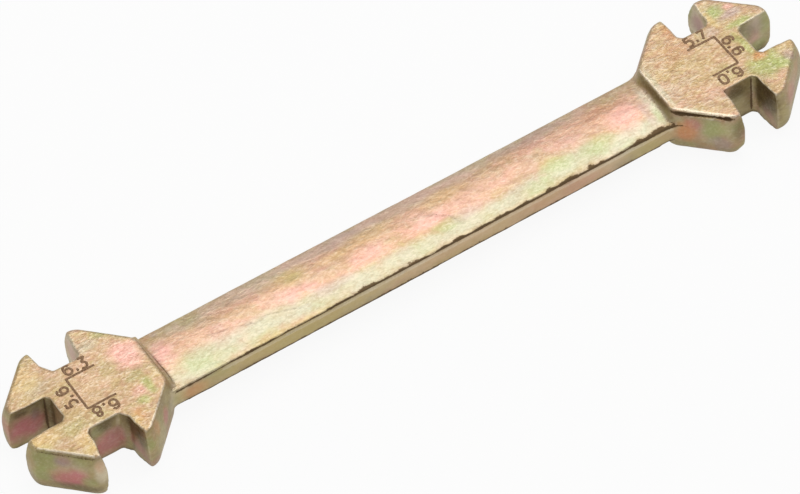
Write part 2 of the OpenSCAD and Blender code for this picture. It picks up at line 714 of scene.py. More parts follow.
@dataclass(frozen=True)
class Bloom:
    """Soft patch of one tint in the zinc film; olive and pale patches on walls, lips and steps are
    painted shade and painted highlights.
    """

    tint: Tint
    place: tuple[float, float, float]
    reach: tuple[float, float, float]
    amount: float = 1.0
    turn: float = 0.0
    fray: float = 0.3
    outside: float = 1.25
    inside: float = 0.35

    def mask(self, places: np.ndarray, ragged: np.ndarray) -> np.ndarray:
        """Strength of the patch at each place.

        Args:
            places: Points in millimetres, one row each.
            ragged: Noise that frays the patch's rim.

        Returns:
            Values from 0 to the patch's amount.
        """
        away = places - np.array(self.place)
        c, s = math.cos(math.radians(self.turn)), math.sin(math.radians(self.turn))
        local_x = away[:, 0] * c + away[:, 1] * s
        local_y = away[:, 1] * c - away[:, 0] * s
        rx, ry, rz = self.reach
        distance = np.sqrt((local_x / rx) ** 2 + (local_y / ry) ** 2 + (away[:, 2] / rz) ** 2)
        return self.amount * smooth_step(self.outside, self.inside, distance + self.fray * ragged)


@dataclass(frozen=True)
class Lap:
    """Thin step in the crown, where skin folded over in the die."""

    points: tuple[tuple[float, float], ...]
    height: float = -0.05
    waver: float = 0.35
    half_edge: float = 0.14
    fade: float = 1.6
    crown_low: float = 1.5
    crown_half_length: float = 46

    def rise(self, places: np.ndarray) -> np.ndarray:
        """Height that the lap adds to each vertex of the upper crown.

        Args:
            places: Points in millimetres, one row each.

        Returns:
            Rise of each vertex.
        """
        x, y, z = places.T
        line = np.array(self.points)
        path_y = np.interp(x, line[:, 0], line[:, 1])
        path_y = path_y + self.waver * noise_at(places * (1, 0, 0), (1.3, 1, 1), 8.8)
        within = smooth_step(line[0, 0] - 1, line[0, 0] + 1, x)
        within *= smooth_step(line[-1, 0] + 1, line[-1, 0] - 1, x)
        above = (z > MID_Z + self.crown_low) & (np.abs(x) < self.crown_half_length)
        away = y - path_y
        step = smooth_step(-self.half_edge, self.half_edge, away)
        step *= np.exp(-np.maximum(away, 0) / self.fade)
        return self.height * within * step * above


@dataclass(frozen=True)
class WearZones:
    """Zones of the voxel skin that are smoothed differently, in millimetres."""

    heads_from_x: float = 46
    jaw_radius: float = 12.0
    side_fold_x: float = 49
    side_fold_y: float = 4.9
    side_fold_z: tuple[float, float] = (5.0, 7.0)
    rim_fold_x: tuple[float, float] = (46.5, 57)
    rim_fold_y: float = -4.0
    rim_fold_z: tuple[float, float] = (7.8, 9.2)
    rim_fold_radius: float = 10.8
    neck_x: float = 47.4
    neck_reach: tuple[float, float, float] = (2.2, 9.5, 4.1)

    def passes(self, places: np.ndarray) -> tuple[tuple[np.ndarray, int], ...]:
        """Lists what is smoothed, in working order.

        Args:
            places: The skin's vertices, one row each.

        Returns:
            Which vertices each pass takes, and how many times.
        """
        def between(values: np.ndarray, bounds: tuple[float, float]) -> np.ndarray:
            """Whether each value lies between two bounds."""
            return (values > bounds[0]) & (values < bounds[1])

        x, y, z = places.T
        far_x, far_y = np.abs(x), np.abs(y)
        radius = np.hypot(far_x - HEAD_X, y)
        folded = (far_x < self.side_fold_x) & (far_y > self.side_fold_y) & between(z, self.side_fold_z)
        folded |= (between(x, self.rim_fold_x) & between(z, self.rim_fold_z)
                   & (y < self.rim_fold_y) & (radius > self.rim_fold_radius))
        jaw_tip = (radius > self.jaw_radius) & (far_x > self.heads_from_x)
        reach_x, reach_y, reach_z = self.neck_reach
        neck = (np.abs(far_x - self.neck_x) < reach_x) & (far_y < reach_y)
        neck &= (np.abs(z - MID_Z) < reach_z) & ~folded
        return (~folded, 3), (folded, 1), (jaw_tip & ~folded, 3), (neck, 12)


# Layers of lumps on the forged skin: height, size along each axis, and shift of the pattern
LUMPS = (
    (0.07, (9, 6, 9), 11.3),
    (0.05, (2.6, 1.9, 2.2), 4.7),
    (0.035, (0.95, 0.6, 0.8), 23.1),
)


@dataclass
class WrenchForging:
    """The whole forging: heads, shank and necks in one skin."""

    heads: tuple[ForgedHead, ...]
    shank: Shank
    grooves: tuple[RaggedGroove, ...]
    blooms: tuple[Bloom, ...]
    laps: tuple[Lap, ...]
    strokes: tuple[EdgeStroke, ...]
    collars: tuple[NeckCollar, ...]
    voxel: float = 0.18
    faces_wanted: int = 192000
    wall_lumps: float = 0.35
    underside_share: float = 0.25
    full_bend: float = 0.09
    bend_reach: int = 4
    bend_rounds: int = 2
    gleam_bend: float = 0.95
    # Strength of the painted shade at the foot of the walls
    foot_shade: float = 0.8
    coarse_from_x: tuple[float, float] = (44.0, 49.0)
    piece: bpy.types.Object = field(init=False, default=None)

    def build(self) -> bpy.types.Object:
        """Makes the forging's mesh, in metres, with the attributes that its finish reads.

        Returns:
            The forging as one object.
        """
        body = self.shank.solid()
        for head in self.heads:
            combine(body, head.solid(), "UNION")
        for side in (-1, 1):
            for hand in (-1, 1):
                combine(body, NeckFillet(side=side).gusset(hand), "UNION")
        for collar in self.collars:
            combine(body, collar.solid(), "UNION")
        for groove in self.grooves:
            combine(body, groove.cutter(), "DIFFERENCE")
        LOG.info("solid body: %d faces", len(body.data.polygons))
        skin = body.modifiers.new("skin", "REMESH")
        skin.mode = "VOXEL"
        skin.voxel_size = self.voxel
        apply_modifiers(body)
        LOG.info("skin: %d faces", len(body.data.polygons))
        self.wear_edges(body)
        self.forge_surface(body)
        thin = body.modifiers.new("thin", "DECIMATE")
        thin.ratio = self.faces_wanted / (2 * len(body.data.polygons))
        apply_modifiers(body)
        LOG.info("thinned skin: %d faces", len(body.data.polygons))
        self.paint(body)
        body.data.transform(Matrix.Scale(MM, 4))
        body.data.shade_smooth()
        body.name = body.data.name = "zinc_plated_forging"
        self.piece = body
        return body

    def skin_tree(self) -> BVHTree:
        """Makes a search tree of the finished skin.

        Returns:
            The tree, in metres.
        """
        bm = bmesh.new()
        bm.from_mesh(self.piece.data)
        tree = BVHTree.FromBMesh(bm)
        bm.free()
        return tree

    def wear_edges(self, body: bpy.types.Object) -> None:
        """Rounds the voxel skin: a little everywhere, more at the jaw tips and in the necks.

        Args:
            body: The voxel skin, in millimetres.
        """
        bm = bmesh.new()
        bm.from_mesh(body.data)
        bm.verts.ensure_lookup_table()
        for zone, times in WearZones().passes(vertex_places(body.data)):
            verts = [bm.verts[i] for i in np.flatnonzero(zone)]
            for _ in range(times):
                bmesh.ops.smooth_vert(bm, verts=verts, factor=0.5, use_axis_x=True,
                                      use_axis_y=True, use_axis_z=True)
        bm.to_mesh(body.data)
        bm.free()

    def forge_surface(self, body: bpy.types.Object) -> None:
        """Moves the skin as a die leaves it: waves, lumps and laps.

        Args:
            body: The smoothed skin, in millimetres.
        """
        mesh = body.data
        places, normals = vertex_places(mesh), vertex_normals(mesh)
        flat = smooth_step(0.5, 0.95, np.abs(normals[:, 2]))
        skin = self.wall_lumps + (1 - self.wall_lumps) * flat
        push = np.zeros(len(places))
        for height, size, shift in LUMPS:
            push += height * noise_at(places, size, shift) * skin
        places += normals * push[:, None]
        for lap in self.laps:
            places[:, 2] += lap.rise(places)
        places[places[:, 2] < 0, 2] *= self.underside_share
        mesh.vertices.foreach_set("co", places.ravel())
        mesh.update()

    def film_tints(self, places: np.ndarray, normals: np.ndarray,
                   ragged: np.ndarray) -> dict[str, np.ndarray]:
        """Tints of the film: the listed patches, stray ones, and painted shade at the foot of the
        walls.

        Args:
            places: The skin's vertices, in millimetres.
            normals: Its vertex normals.
            ragged: Noise that frays the rims.

        Returns:
            Four channels for each of the film's colour attributes.
        """
        channels = {name: np.zeros((len(places), 4)) for name in ("film_warm_and_highlight", "film_cool_and_shade")}

        def lay(tint: Tint, mask: np.ndarray) -> None:
            """Adds one layer of a tint over what its channel holds.

            Args:
                tint: The tint.
                mask: Strength of the layer at each vertex.
            """
            name, channel = tint.value
            column = channels[name][:, channel]
            column[:] = 1 - (1 - column) * (1 - mask)

        for bloom in self.blooms:
            lay(bloom.tint, np.clip(bloom.mask(places, ragged), 0, 1))
        for tint, mask in StrayTints().masks(places, normals, ragged):
            lay(tint, mask)
        # Painted shade: the walls are darker near the lower faces, which stay light themselves
        foot = smooth_step(0.9, 0.1, places[:, 2] + 0.4 * ragged)
        foot *= smooth_step(0.8, 0.3, -normals[:, 2])
        name, channel = Tint.OLIVE.value
        olive = channels[name][:, channel]
        olive[:] = np.maximum(olive, self.foot_shade * foot)
        return channels

    def paint(self, body: bpy.types.Object) -> None:
        """Stores the film's tints, the edge wear, the painted shade and highlights, and the lie of the
        surface as colour attributes.

        Args:
            body: The thinned skin, in millimetres.
        """
        mesh = body.data
        places, normals = vertex_places(mesh), vertex_normals(mesh)
        ragged = 0.6 * noise_at(places, (2.4, 2.0, 2.0), 31.0)
        ragged += 0.5 * noise_at(places, (0.9, 0.9, 0.9), 2.0)
        channels = self.film_tints(places, normals, ragged)
        bend = self.bend_of(mesh, places, normals)
        for stroke in self.strokes:
            mask = stroke.mask(places, ragged)
            # A painted highlight (gleam) adds to the edges, and painted shade first takes an edge away
            # and then darkens
            gleam = self.gleam_bend * mask
            bend = bend + (gleam if stroke.gleam else -(1.0 + np.maximum(bend, 0)) * mask)
        # Steepness picks the wall colours, which are partly painted shade, and calms the grain
        upright = smooth_step(0.85, 0.35, np.abs(normals[:, 2]))
        coarse = smooth_step(*self.coarse_from_x, np.abs(places[:, 0]))
        lie = (np.clip(bend, 0, 1), np.clip(-bend, 0, 1), upright, coarse)
        channels["surface_lie"] = np.stack(lie, 1)
        for name, values in channels.items():
            layer = mesh.attributes.new(name, "FLOAT_COLOR", "POINT")
            layer.data.foreach_set("color", values.astype(np.float32).ravel())

    def bend_of(self, mesh: bpy.types.Mesh, places: np.ndarray, normals: np.ndarray) -> np.ndarray:
        """How far each vertex stands out of its surroundings: above 0 on edges, below in folds.

        Args:
            mesh: The thinned skin.
            places: Its vertices.
            normals: Its vertex normals.

        Returns:
            One value for each vertex, about -1 to 1.
        """
        pairs = np.empty(len(mesh.edges) * 2, np.int32)
        mesh.edges.foreach_get("vertices", pairs)
        a, b = pairs.reshape(-1, 2).T
        size = len(places)
        count = np.bincount(a, minlength=size) + np.bincount(b, minlength=size)

        def around(values: np.ndarray) -> np.ndarray:
            """Mean of each vertex's neighbours."""
            total = np.bincount(a, values[b], size) + np.bincount(b, values[a], size)
            return total / np.maximum(count, 1)

        soft = places.copy()
        for _ in range(self.bend_reach):
            soft = np.stack([around(soft[:, i]) for i in range(3)], 1)
        stands = ((places - soft) * normals).sum(1)
        for _ in range(self.bend_rounds):
            stands = 0.5 * stands + 0.5 * around(stands)
        return stands / self.full_bend


# Etched sizes


class EtchedPen:
    """Draws one stroke as a thin closed ribbon: straights are extruded and bends are spun."""

    STRAIGHT_STEP = 0.25
    BEND_STEP = 18
    RIM_SIDES = 12

    def __init__(self, width: float, start: tuple[float, float], heading: float) -> None:
        """Puts the pen down.

        Args:
            width: Width of the stroke in millimetres.
            start: Where the stroke starts.
            heading: Direction that it starts in, in degrees from +X.
        """
        self.bm = bmesh.new()
        self.place = Vector((*start, 0))
        self.heading = heading
        bmesh.ops.create_circle(self.bm, cap_ends=False, segments=self.RIM_SIDES, radius=width / 2)
        turn = turn_z(heading) @ Matrix.Rotation(math.radians(90), 3, "Y")
        bmesh.ops.rotate(self.bm, verts=self.bm.verts, matrix=turn)
        bmesh.ops.translate(self.bm, verts=self.bm.verts, vec=self.place)
        self.rim = list(self.bm.edges)

    def go(self, length: float) -> None:
        """Draws a straight line in short steps, so that it can lie on uneven ground.

        Args:
            length: Length of the line.
        """
        steps = max(1, round(length / self.STRAIGHT_STEP))
        ahead = turn_z(self.heading) @ Vector((length / steps, 0, 0))
        for _ in range(steps):
            grown = bmesh.ops.extrude_edge_only(self.bm, edges=self.rim)
            verts = [g for g in grown["geom"] if isinstance(g, bmesh.types.BMVert)]
            self.rim = [g for g in grown["geom"] if isinstance(g, bmesh.types.BMEdge)]
            bmesh.ops.translate(self.bm, verts=verts, vec=ahead)
        self.place += ahead * steps

    def bend(self, radius: float, angle: float) -> None:
        """Draws an arc.

        Args:
            radius: Radius of the arc.
            angle: How far it turns in degrees, to the left above 0.
        """
        side = math.copysign(90, angle)
        to_centre = turn_z(self.heading + side) @ Vector((radius, 0, 0))
        centre = self.place + to_centre
        made = bmesh.ops.spin(self.bm, geom=self.rim, cent=centre, axis=(0, 0, 1), dvec=(0, 0, 0),
                              angle=math.radians(angle),
                              steps=max(2, round(abs(angle) / self.BEND_STEP)),
                              use_merge=False, use_normal_flip=False, use_duplicate=False)
        self.rim = [g for g in made["geom_last"] if isinstance(g, bmesh.types.BMEdge)]
        self.place = centre - turn_z(angle) @ to_centre
        self.heading += angle

    def lift(self) -> bmesh.types.BMesh:
        """Closes both ends.

        Returns:
            The finished ribbon.
        """
        ends = [e for e in self.bm.edges if e.is_boundary]
        bmesh.ops.holes_fill(self.bm, edges=ends, sides=0)
        return self.bm


# Strokes of each digit: where the pen starts, its heading, and the moves (radius, angle) or
# (length,); a digit is 1.3 wide and 2.05 high between the middles of its strokes.
STROKES = {
    "0": (((1.3, 0.65), 90, ((0.75,), (0.65, 180), (0.75,), (0.65, 176))),),
    "3": (((0.05, 2.05), 0, ((1.0,), (0.08, -132), (0.98,), (0.08, 118), (0.66, -212))),),
    "5": (((1.15, 2.05), 180, ((0.8,), (0.08, 86), (0.72,), (0.08, 128), (0.66, -250))),),
    "6": (((1.2, 1.72), 120, ((0.62, 150), (0.7,), (0.65, 354))),),
    "7": (((0.0, 2.05), 0, ((1.1,), (0.08, -114), (1.95,))),),
    "8": (((0.65, 1.26), 180, ((0.63, 356),)), ((0.65, 1.26), 0, ((0.42, 356),))),
    ".": (((0.45, 0.08), 0, ((0.4,),)),),
}
DIGIT_MIDDLE = Vector((0.65, 1.02, 0))
POINT_MIDDLE = Vector((0.65, 0.08, 0))


@dataclass(frozen=True)
class EtchedSize:
    """One etched slot size, each sign with its own place on the face."""

    text: str
    places: tuple[tuple[float, float], ...]
    reads: float
    width: float = 0.47
    point_width: float = 1.25
    scale: float = 0.95

    def strokes(self) -> list[bmesh.types.BMesh]:
        """Draws all the signs.

        Returns:
            The signs' ribbons, in plan.
        """
        ribbons = []
        turn = turn_z(self.reads)
        for sign, place in zip(self.text, self.places):
            is_point = sign == "."
            middle = POINT_MIDDLE if is_point else DIGIT_MIDDLE
            for start, heading, moves in STROKES[sign]:
                pen = EtchedPen(self.width * (self.point_width if is_point else 1), start, heading)
                for move in moves:
                    pen.go(*move) if len(move) == 1 else pen.bend(*move)
                ribbon = pen.lift()
                bmesh.ops.translate(ribbon, verts=ribbon.verts, vec=-middle)
                bmesh.ops.scale(ribbon, verts=ribbon.verts, vec=(self.scale, self.scale, 1))
                bmesh.ops.rotate(ribbon, verts=ribbon.verts, matrix=turn)
                bmesh.ops.translate(ribbon, verts=ribbon.verts, vec=(*place, 0))
                ribbons.append(ribbon)
        return ribbons


@dataclass(frozen=True)
class EtchedBracket:
    """Three lines that tie the sizes of a head's slots together."""

    corners: tuple[tuple[float, float], ...]
    width: float = 0.42
    corner_radius: float = 0.1

    def strokes(self) -> list[bmesh.types.BMesh]:
        """Draws the bracket.

        Returns:
            The bracket as one ribbon.
        """
        points = [Vector((*corner, 0)) for corner in self.corners]
        runs = [b - a for a, b in zip(points, points[1:])]
        headings = [math.degrees(math.atan2(run.y, run.x)) for run in runs]
        pen = EtchedPen(self.width, points[0].xy, headings[0])
        for index, run in enumerate(runs):
            has_next = index < len(runs) - 1
            pen.go(run.length - self.corner_radius * ((index > 0) + has_next))
            if has_next:
                turn = (headings[index + 1] - headings[index] + 180) % 360 - 180
                pen.bend(self.corner_radius, turn)
        return [pen.lift()]


@dataclass
class EtchedFace:
    """All marks on one head, laid on the forging's skin."""

    name: str
    bracket: EtchedBracket
    sizes: tuple[EtchedSize, ...]
    flatness: float = 0.16
    lift: float = 0.012
    cast_height: float = 20
    deepest: float = 0.5

    def ground(self, skin: BVHTree, x: float, y: float) -> Vector:
        """Point of the face below a place, or the nearest one beyond the face's edge.

        Args:
            skin: The forging's finished surface, in metres.
            x: Place along the wrench, in metres.
            y: Place across it.

        Returns:
            The point on the skin.
        """
        below = skin.ray_cast(Vector((x, y, self.cast_height * MM)), Vector((0, 0, -1)))[0]
        if below is None or below.z < (HEAD_T - self.deepest) * MM:
            return skin.find_nearest(Vector((x, y, HEAD_T * MM)))[0]
        return below

    def build(self, skin: BVHTree) -> bpy.types.Object:
        """Makes the marks, in metres.

        Args:
            skin: The forging's finished surface, in metres.

        Returns:
            The marks as one object.
        """
        bm = bmesh.new()
        for part in (self.bracket, *self.sizes):
            for ribbon in part.strokes():
                mesh = bpy.data.meshes.new("ribbon")
                ribbon.to_mesh(mesh)
                ribbon.free()
                bm.from_mesh(mesh)
                bpy.data.meshes.remove(mesh)
        for vert in bm.verts:
            rise = vert.co.z * self.flatness + self.lift
            ground = self.ground(skin, vert.co.x * MM, vert.co.y * MM)
            vert.co = ground + Vector((0, 0, rise * MM))
        marks = object_from(bm, self.name)
        marks.data.shade_smooth()
        return marks


# Finishes


class NodeDesk:
    """Short way to place and join shader nodes in one tree."""

    def __init__(self, tree: bpy.types.NodeTree) -> None:
        """Keeps the tree that nodes are placed in."""
        self.tree = tree

    @classmethod
    def cleared(cls, owner: bpy.types.Material | bpy.types.World) -> "NodeDesk":
        """Empties the node tree of a material or a world.

        Args:
            owner: The material or the world.

        Returns:
            A desk for its tree.
        """
        owner.use_nodes = True
        owner.node_tree.nodes.clear()
        return cls(owner.node_tree)

    def add(self, kind: str, settings: dict | None = None, **inputs: object) -> bpy.types.Node:
        """Places one node.

        Args:
            kind: Blender's name of the node's type.
            settings: Properties of the node.
            **inputs: Values or sockets for its inputs, with _ for a space, or in0, in1 by place.

        Returns:
            The node.
        """
        node = self.tree.nodes.new(kind)
        for key, value in (settings or {}).items():
            setattr(node, key, value)
        for key, value in inputs.items():
            if key.startswith("in") and key[2:].isdigit():
                socket = node.inputs[int(key[2:])]
            else:
                socket = node.inputs[key.replace("_", " ")]
            if isinstance(value, bpy.types.NodeSocket):
                self.tree.links.new(value, socket)
            else:
                socket.default_value = value
        return node

    def math(self, operation: str, *values: object) -> bpy.types.NodeSocket:
        """Places a Math node.

        Args:
            operation: Blender's name of the operation.
            *values: Its values or sockets.

        Returns:
            The node's output.
        """
        keys = {f"in{i}": value for i, value in enumerate(values)}
        return self.add("ShaderNodeMath", {"operation": operation}, **keys).outputs[0]

    def plus(self, first: object, second: object) -> bpy.types.NodeSocket:
        """Sum of two values or sockets."""
        return self.math("ADD", first, second)

    def times(self, first: object, second: object) -> bpy.types.NodeSocket:
        """Product of two values or sockets."""
        return self.math("MULTIPLY", first, second)

    def mix(self, share: object, first: object, second: object,
            blend: str = "MIX") -> bpy.types.NodeSocket:
        """Places a colour Mix node.

        Args:
            share: How much of the second colour shows.
            first: Colour at share 0.
            second: Colour at share 1.
            blend: Blender's name of the way they blend.

        Returns:
            The node's colour output.
        """
        settings = {"data_type": "RGBA", "blend_type": blend}
        node = self.add("ShaderNodeMix", settings, in0=share, in6=first, in7=second)
        return node.outputs[2]

    def span(self, value: object, low: float, high: float, to_low: float = 0.0,
             to_high: float = 1.0) -> bpy.types.NodeSocket:
        """Places a smooth Map Range node.

        Args:
            value: What is mapped.
            low: Value that becomes to_low; it may be above high.
            high: Value that becomes to_high.
            to_low: Result up to low.
            to_high: Result from high on.

        Returns:
            The node's output.
        """
        node = self.add("ShaderNodeMapRange", {"interpolation_type": "SMOOTHSTEP"}, in0=value,
                        in1=low, in2=high, in3=to_low, in4=to_high)
        return node.outputs[0]

    def noise(self, place: bpy.types.NodeSocket, scale: object, detail: float,
              roughness: float = 0.5, distortion: float = 0.0) -> bpy.types.NodeSocket:
        """Places a Noise Texture node.

        Args:
            place: Where the noise is read.
            scale: Its lumps for each unit of place.
            detail: How many finer layers it has.
            roughness: Strength of each finer layer.
            distortion: How far it is warped.

        Returns:
            The node's value output.
        """
        node = self.add("ShaderNodeTexNoise", Vector=place, Scale=scale, Detail=detail,
                        Roughness=roughness, Distortion=distortion)
        return node.outputs["Fac"]


def srgb(red: int, green: int, blue: int) -> tuple[float, float, float, float]:
    """Turns an 8-bit screen colour into a linear one.

    Args:
        red: Red from 0 to 255.
        green: Green from 0 to 255.
        blue: Blue from 0 to 255.

    Returns:
        Linear red, green and blue, and full alpha.
    """
    def linear(value: int) -> float:
        """Linear share of one channel."""
        share = value / 255
        return share / 12.92 if share <= 0.04045 else ((share + 0.055) / 1.055) ** 2.4
    return (linear(red), linear(green), linear(blue), 1.0)


@dataclass(frozen=True)
class ForgedGrain:
    """Fine grain of a forged, plated skin, as a node group that every finish shares.

    The grain is drawn out along the wrench, a little askew.
    """

    name: str = "forged_grain"
    grain_size: float = 0.4
    ripple: float = 0.4
    drawn_out: tuple[float, float, float] = (0.66, 1.3, 1.0)
    askew: float = 0.5

    def group(self) -> bpy.types.NodeTree:
        """The node group, made once.

        Returns:
            Group with inputs Grain Size and Ripple, and outputs Height, Fleck and Cloud.
        """
        found = bpy.data.node_groups.get(self.name)
        if found:
            return found
        tree = bpy.data.node_groups.new(self.name, "ShaderNodeTree")
        face = tree.interface
        for name in ("Grain Size", "Ripple"):
            face.new_socket(name, in_out="INPUT", socket_type="NodeSocketFloat")
        for name in ("Height", "Fleck", "Cloud"):
            face.new_socket(name, in_out="OUTPUT", socket_type="NodeSocketFloat")
        desk = NodeDesk(tree)
        inputs = desk.add("NodeGroupInput").outputs
        place = desk.add("ShaderNodeTexCoord").outputs["Object"]
        scaling = {"operation": "SCALE"}
        scaled = desk.add("ShaderNodeVectorMath", scaling, Vector=place, Scale=1 / MM).outputs[0]
        per_grain = desk.math("DIVIDE", 1.0, inputs["Grain Size"])
        drawn = desk.add("ShaderNodeMapping", Vector=scaled, Rotation=(0, 0, self.askew),
                         Scale=self.drawn_out).outputs[0]
        grain = desk.noise(drawn, per_grain, 2.0, distortion=0.7)
        ripple = desk.noise(drawn, 0.95, 3.0, distortion=0.8)
        height = desk.plus(desk.times(grain, 0.6), desk.times(ripple, inputs["Ripple"]))
        fleck = desk.noise(scaled, desk.times(per_grain, 1.6), 2.0, roughness=0.6)
        broad = desk.noise(scaled, 0.22, 4.0, roughness=0.6)
        mottle = desk.noise(drawn, 1.1, 2.0, distortion=0.5)
        cloud = desk.plus(desk.times(broad, 0.5), desk.times(mottle, 0.5))
        desk.add("NodeGroupOutput", Height=height, Fleck=fleck, Cloud=cloud)
        return tree

    def placed(self, desk: NodeDesk) -> bpy.types.bpy_prop_collection:
        """Places the group in a finish.

        Args:
            desk: Desk of the finish's tree.

        Returns:
            The outputs Height, Fleck and Cloud.
        """
        settings = {"node_tree": self.group()}
        node = desk.add("ShaderNodeGroup", settings, Grain_Size=self.grain_size, Ripple=self.ripple)
        return node.outputs


@dataclass(frozen=True)
class TintPair:
    """One tint of the zinc film as it looks on an open face and on a steep wall; the wall colours are
    partly painted shade of the walls.
    """

    face: tuple
    wall: tuple
    most: float = 0.9


@dataclass(frozen=True)
class ZincFilm:
    """Yellow zinc plating with rosy and green interference tints."""

    # Wall colours are mostly darker than face colours: painted shade of the walls on top of the film's
    # own tone; olive walls are mostly painted shade, pale walls painted highlight
    tan: TintPair = TintPair(srgb(204, 169, 137), srgb(170, 153, 113))
    gold: TintPair = TintPair(srgb(205, 179, 134), srgb(180, 164, 115))
    tints: tuple[tuple[Tint, TintPair], ...] = (
        (Tint.PALE, TintPair(srgb(202, 202, 176), srgb(236, 222, 194))),
        (Tint.ROSE, TintPair(srgb(244, 186, 176), srgb(210, 122, 132))),
        (Tint.GREEN, TintPair(srgb(170, 188, 114), srgb(164, 170, 106))),
        (Tint.LILAC, TintPair(srgb(196, 172, 166), srgb(170, 142, 140))),
        (Tint.EMBER, TintPair(srgb(206, 146, 98), srgb(220, 152, 104))),
        (Tint.OLIVE, TintPair(srgb(150, 130, 82), srgb(94, 75, 36))),
        (Tint.GOLD, TintPair(srgb(218, 190, 126), srgb(206, 184, 124))),
    )
    # Painted shade in the grain's dips; painted shade in creases and slot corners, with some real
    # residue in the grooves; edge wear that also serves as painted highlight on the grain's crests and
    # the rims
    grain_dip_shade: tuple = srgb(196, 164, 128)
    residue_and_shade: tuple = srgb(106, 82, 52)
    wear_and_highlight: tuple = srgb(248, 235, 211)
    roughness: float = 0.36
    metallic: float = 0.7
    bump: float = 0.12

    def surface_colour(self, desk: NodeDesk, layers: dict[str, tuple], grain: object,
                       calm: bpy.types.NodeSocket) -> bpy.types.NodeSocket:
        """Colour of the film, with its tints and grain, painted shade in the grain's dips and in
        creases, painted highlights on the grain's crests and rims, and edge wear.

        Args:
            desk: Desk of the material's tree.
            layers: Channels of each colour attribute.
            grain: Outputs of the forged grain.
            calm: How strongly the grain shows.

        Returns:
            The colour.
        """
        edge, fold, upright, _ = layers["surface_lie"]
        fleck, cloud, height = (grain[name] for name in ("Fleck", "Cloud", "Height"))
        # Face and wall colours mixed by steepness; the wall colours are partly painted shade
        tan, gold = (desk.mix(upright, pair.face, pair.wall) for pair in (self.tan, self.gold))
        colour = desk.mix(desk.span(cloud, 0.4, 0.6), tan, gold)
        for tint, pair in self.tints:
            name, channel = tint.value
            frayed = desk.times(layers[name][channel], desk.span(fleck, 0.2, 0.6, 0.75, 1.0))
            shade = desk.mix(upright, pair.face, pair.wall)
            colour = desk.mix(desk.times(frayed, pair.most), colour, shade)
        # Painted shade in the grain's dips and painted highlights on its crests
        dip_shade = desk.times(desk.span(height, 0.51, 0.38, 0.0, 0.36), calm)
        colour = desk.mix(dip_shade, colour, self.grain_dip_shade, "MULTIPLY")
        crest_highlight = desk.times(desk.span(height, 0.49, 0.64, 0.0, 0.36), calm)
        colour = desk.mix(crest_highlight, colour, self.wear_and_highlight)
        # Edge wear together with painted highlights along the rims
        wear_and_gleam = desk.times(desk.span(edge, 0.35, 0.95, 0.0, 0.75),
                          desk.span(fleck, 0.35, 0.55, 0.4, 1.0))
        wear_and_gleam = desk.times(wear_and_gleam, desk.span(upright, 0.7, 1.0, 1.0, 0.4))
        colour = desk.mix(wear_and_gleam, colour, self.wear_and_highlight)
        # Painted shade in creases, necks and slot corners, with some real residue in the trimmed
        # grooves
        fray = desk.times(desk.math("SUBTRACT", fleck, 0.5), 1.1)
        residue_and_shade_mask = desk.span(desk.plus(fold, fray), 0.36, 0.76, 0.0, 0.92)
        return desk.mix(residue_and_shade_mask, colour, self.residue_and_shade)

    def material(self) -> bpy.types.Material:
        """Makes the plated steel's material.

        Returns:
            The material.
        """
        made = bpy.data.materials.new("yellow_zinc_film")
        desk = NodeDesk.cleared(made)
        grain = ForgedGrain().placed(desk)
        layers = {}
        for name in ("film_warm_and_highlight", "film_cool_and_shade", "surface_lie"):
            read = desk.add("ShaderNodeAttribute", {"attribute_name": name}).outputs
            parts = desk.add("ShaderNodeSeparateColor", Color=read["Color"]).outputs
            layers[name] = (*parts, read["Alpha"])
        _, fold, upright, coarse = layers["surface_lie"]
        # The grain shows less on steep walls and on the shank
        calm = desk.times(desk.span(upright, 0.0, 1.0, 1.0, 0.3),
                          desk.span(coarse, 0.0, 1.0, 0.66, 1.0))
        colour = self.surface_colour(desk, layers, grain, calm)
        rough = desk.plus(self.roughness, desk.times(grain["Fleck"], 0.14))
        rough = desk.plus(rough, desk.times(fold, 0.25))
        bump = desk.add("ShaderNodeBump", Strength=calm, Distance=self.bump * MM,
                        Height=grain["Height"])
        shader = desk.add("ShaderNodeBsdfPrincipled", Base_Color=colour, Roughness=rough,
                          Metallic=self.metallic, Normal=bump.outputs[0])
        desk.add("ShaderNodeOutputMaterial", Surface=shader.outputs[0])
        return made


@dataclass(frozen=True)
class EtchedBrown:
    """Brown oxide that marks etched sizes, broken up by the forged grain."""

    dark: tuple = srgb(122, 90, 60)
    faded: tuple = srgb(156, 124, 92)
    roughness: float = 0.6
    metallic: float = 0.3
    bump: float = 0.05
    bump_strength: float = 0.6

    def material(self) -> bpy.types.Material:
        """Makes the etched marks' material.

        Returns:
            The material.
        """
        made = bpy.data.materials.new("etched_brown")
        desk = NodeDesk.cleared(made)
        grain = ForgedGrain().placed(desk)
        colour = desk.mix(desk.span(grain["Fleck"], 0.4, 0.62), self.dark, self.faded)
        bump = desk.add("ShaderNodeBump", Strength=self.bump_strength, Distance=self.bump * MM,
                        Height=grain["Height"])
        shader = desk.add("ShaderNodeBsdfPrincipled", Base_Color=colour, Roughness=self.roughness,
                          Metallic=self.metallic, Normal=bump.outputs[0])
        desk.add("ShaderNodeOutputMaterial", Surface=shader.outputs[0])
        return made


# Studio


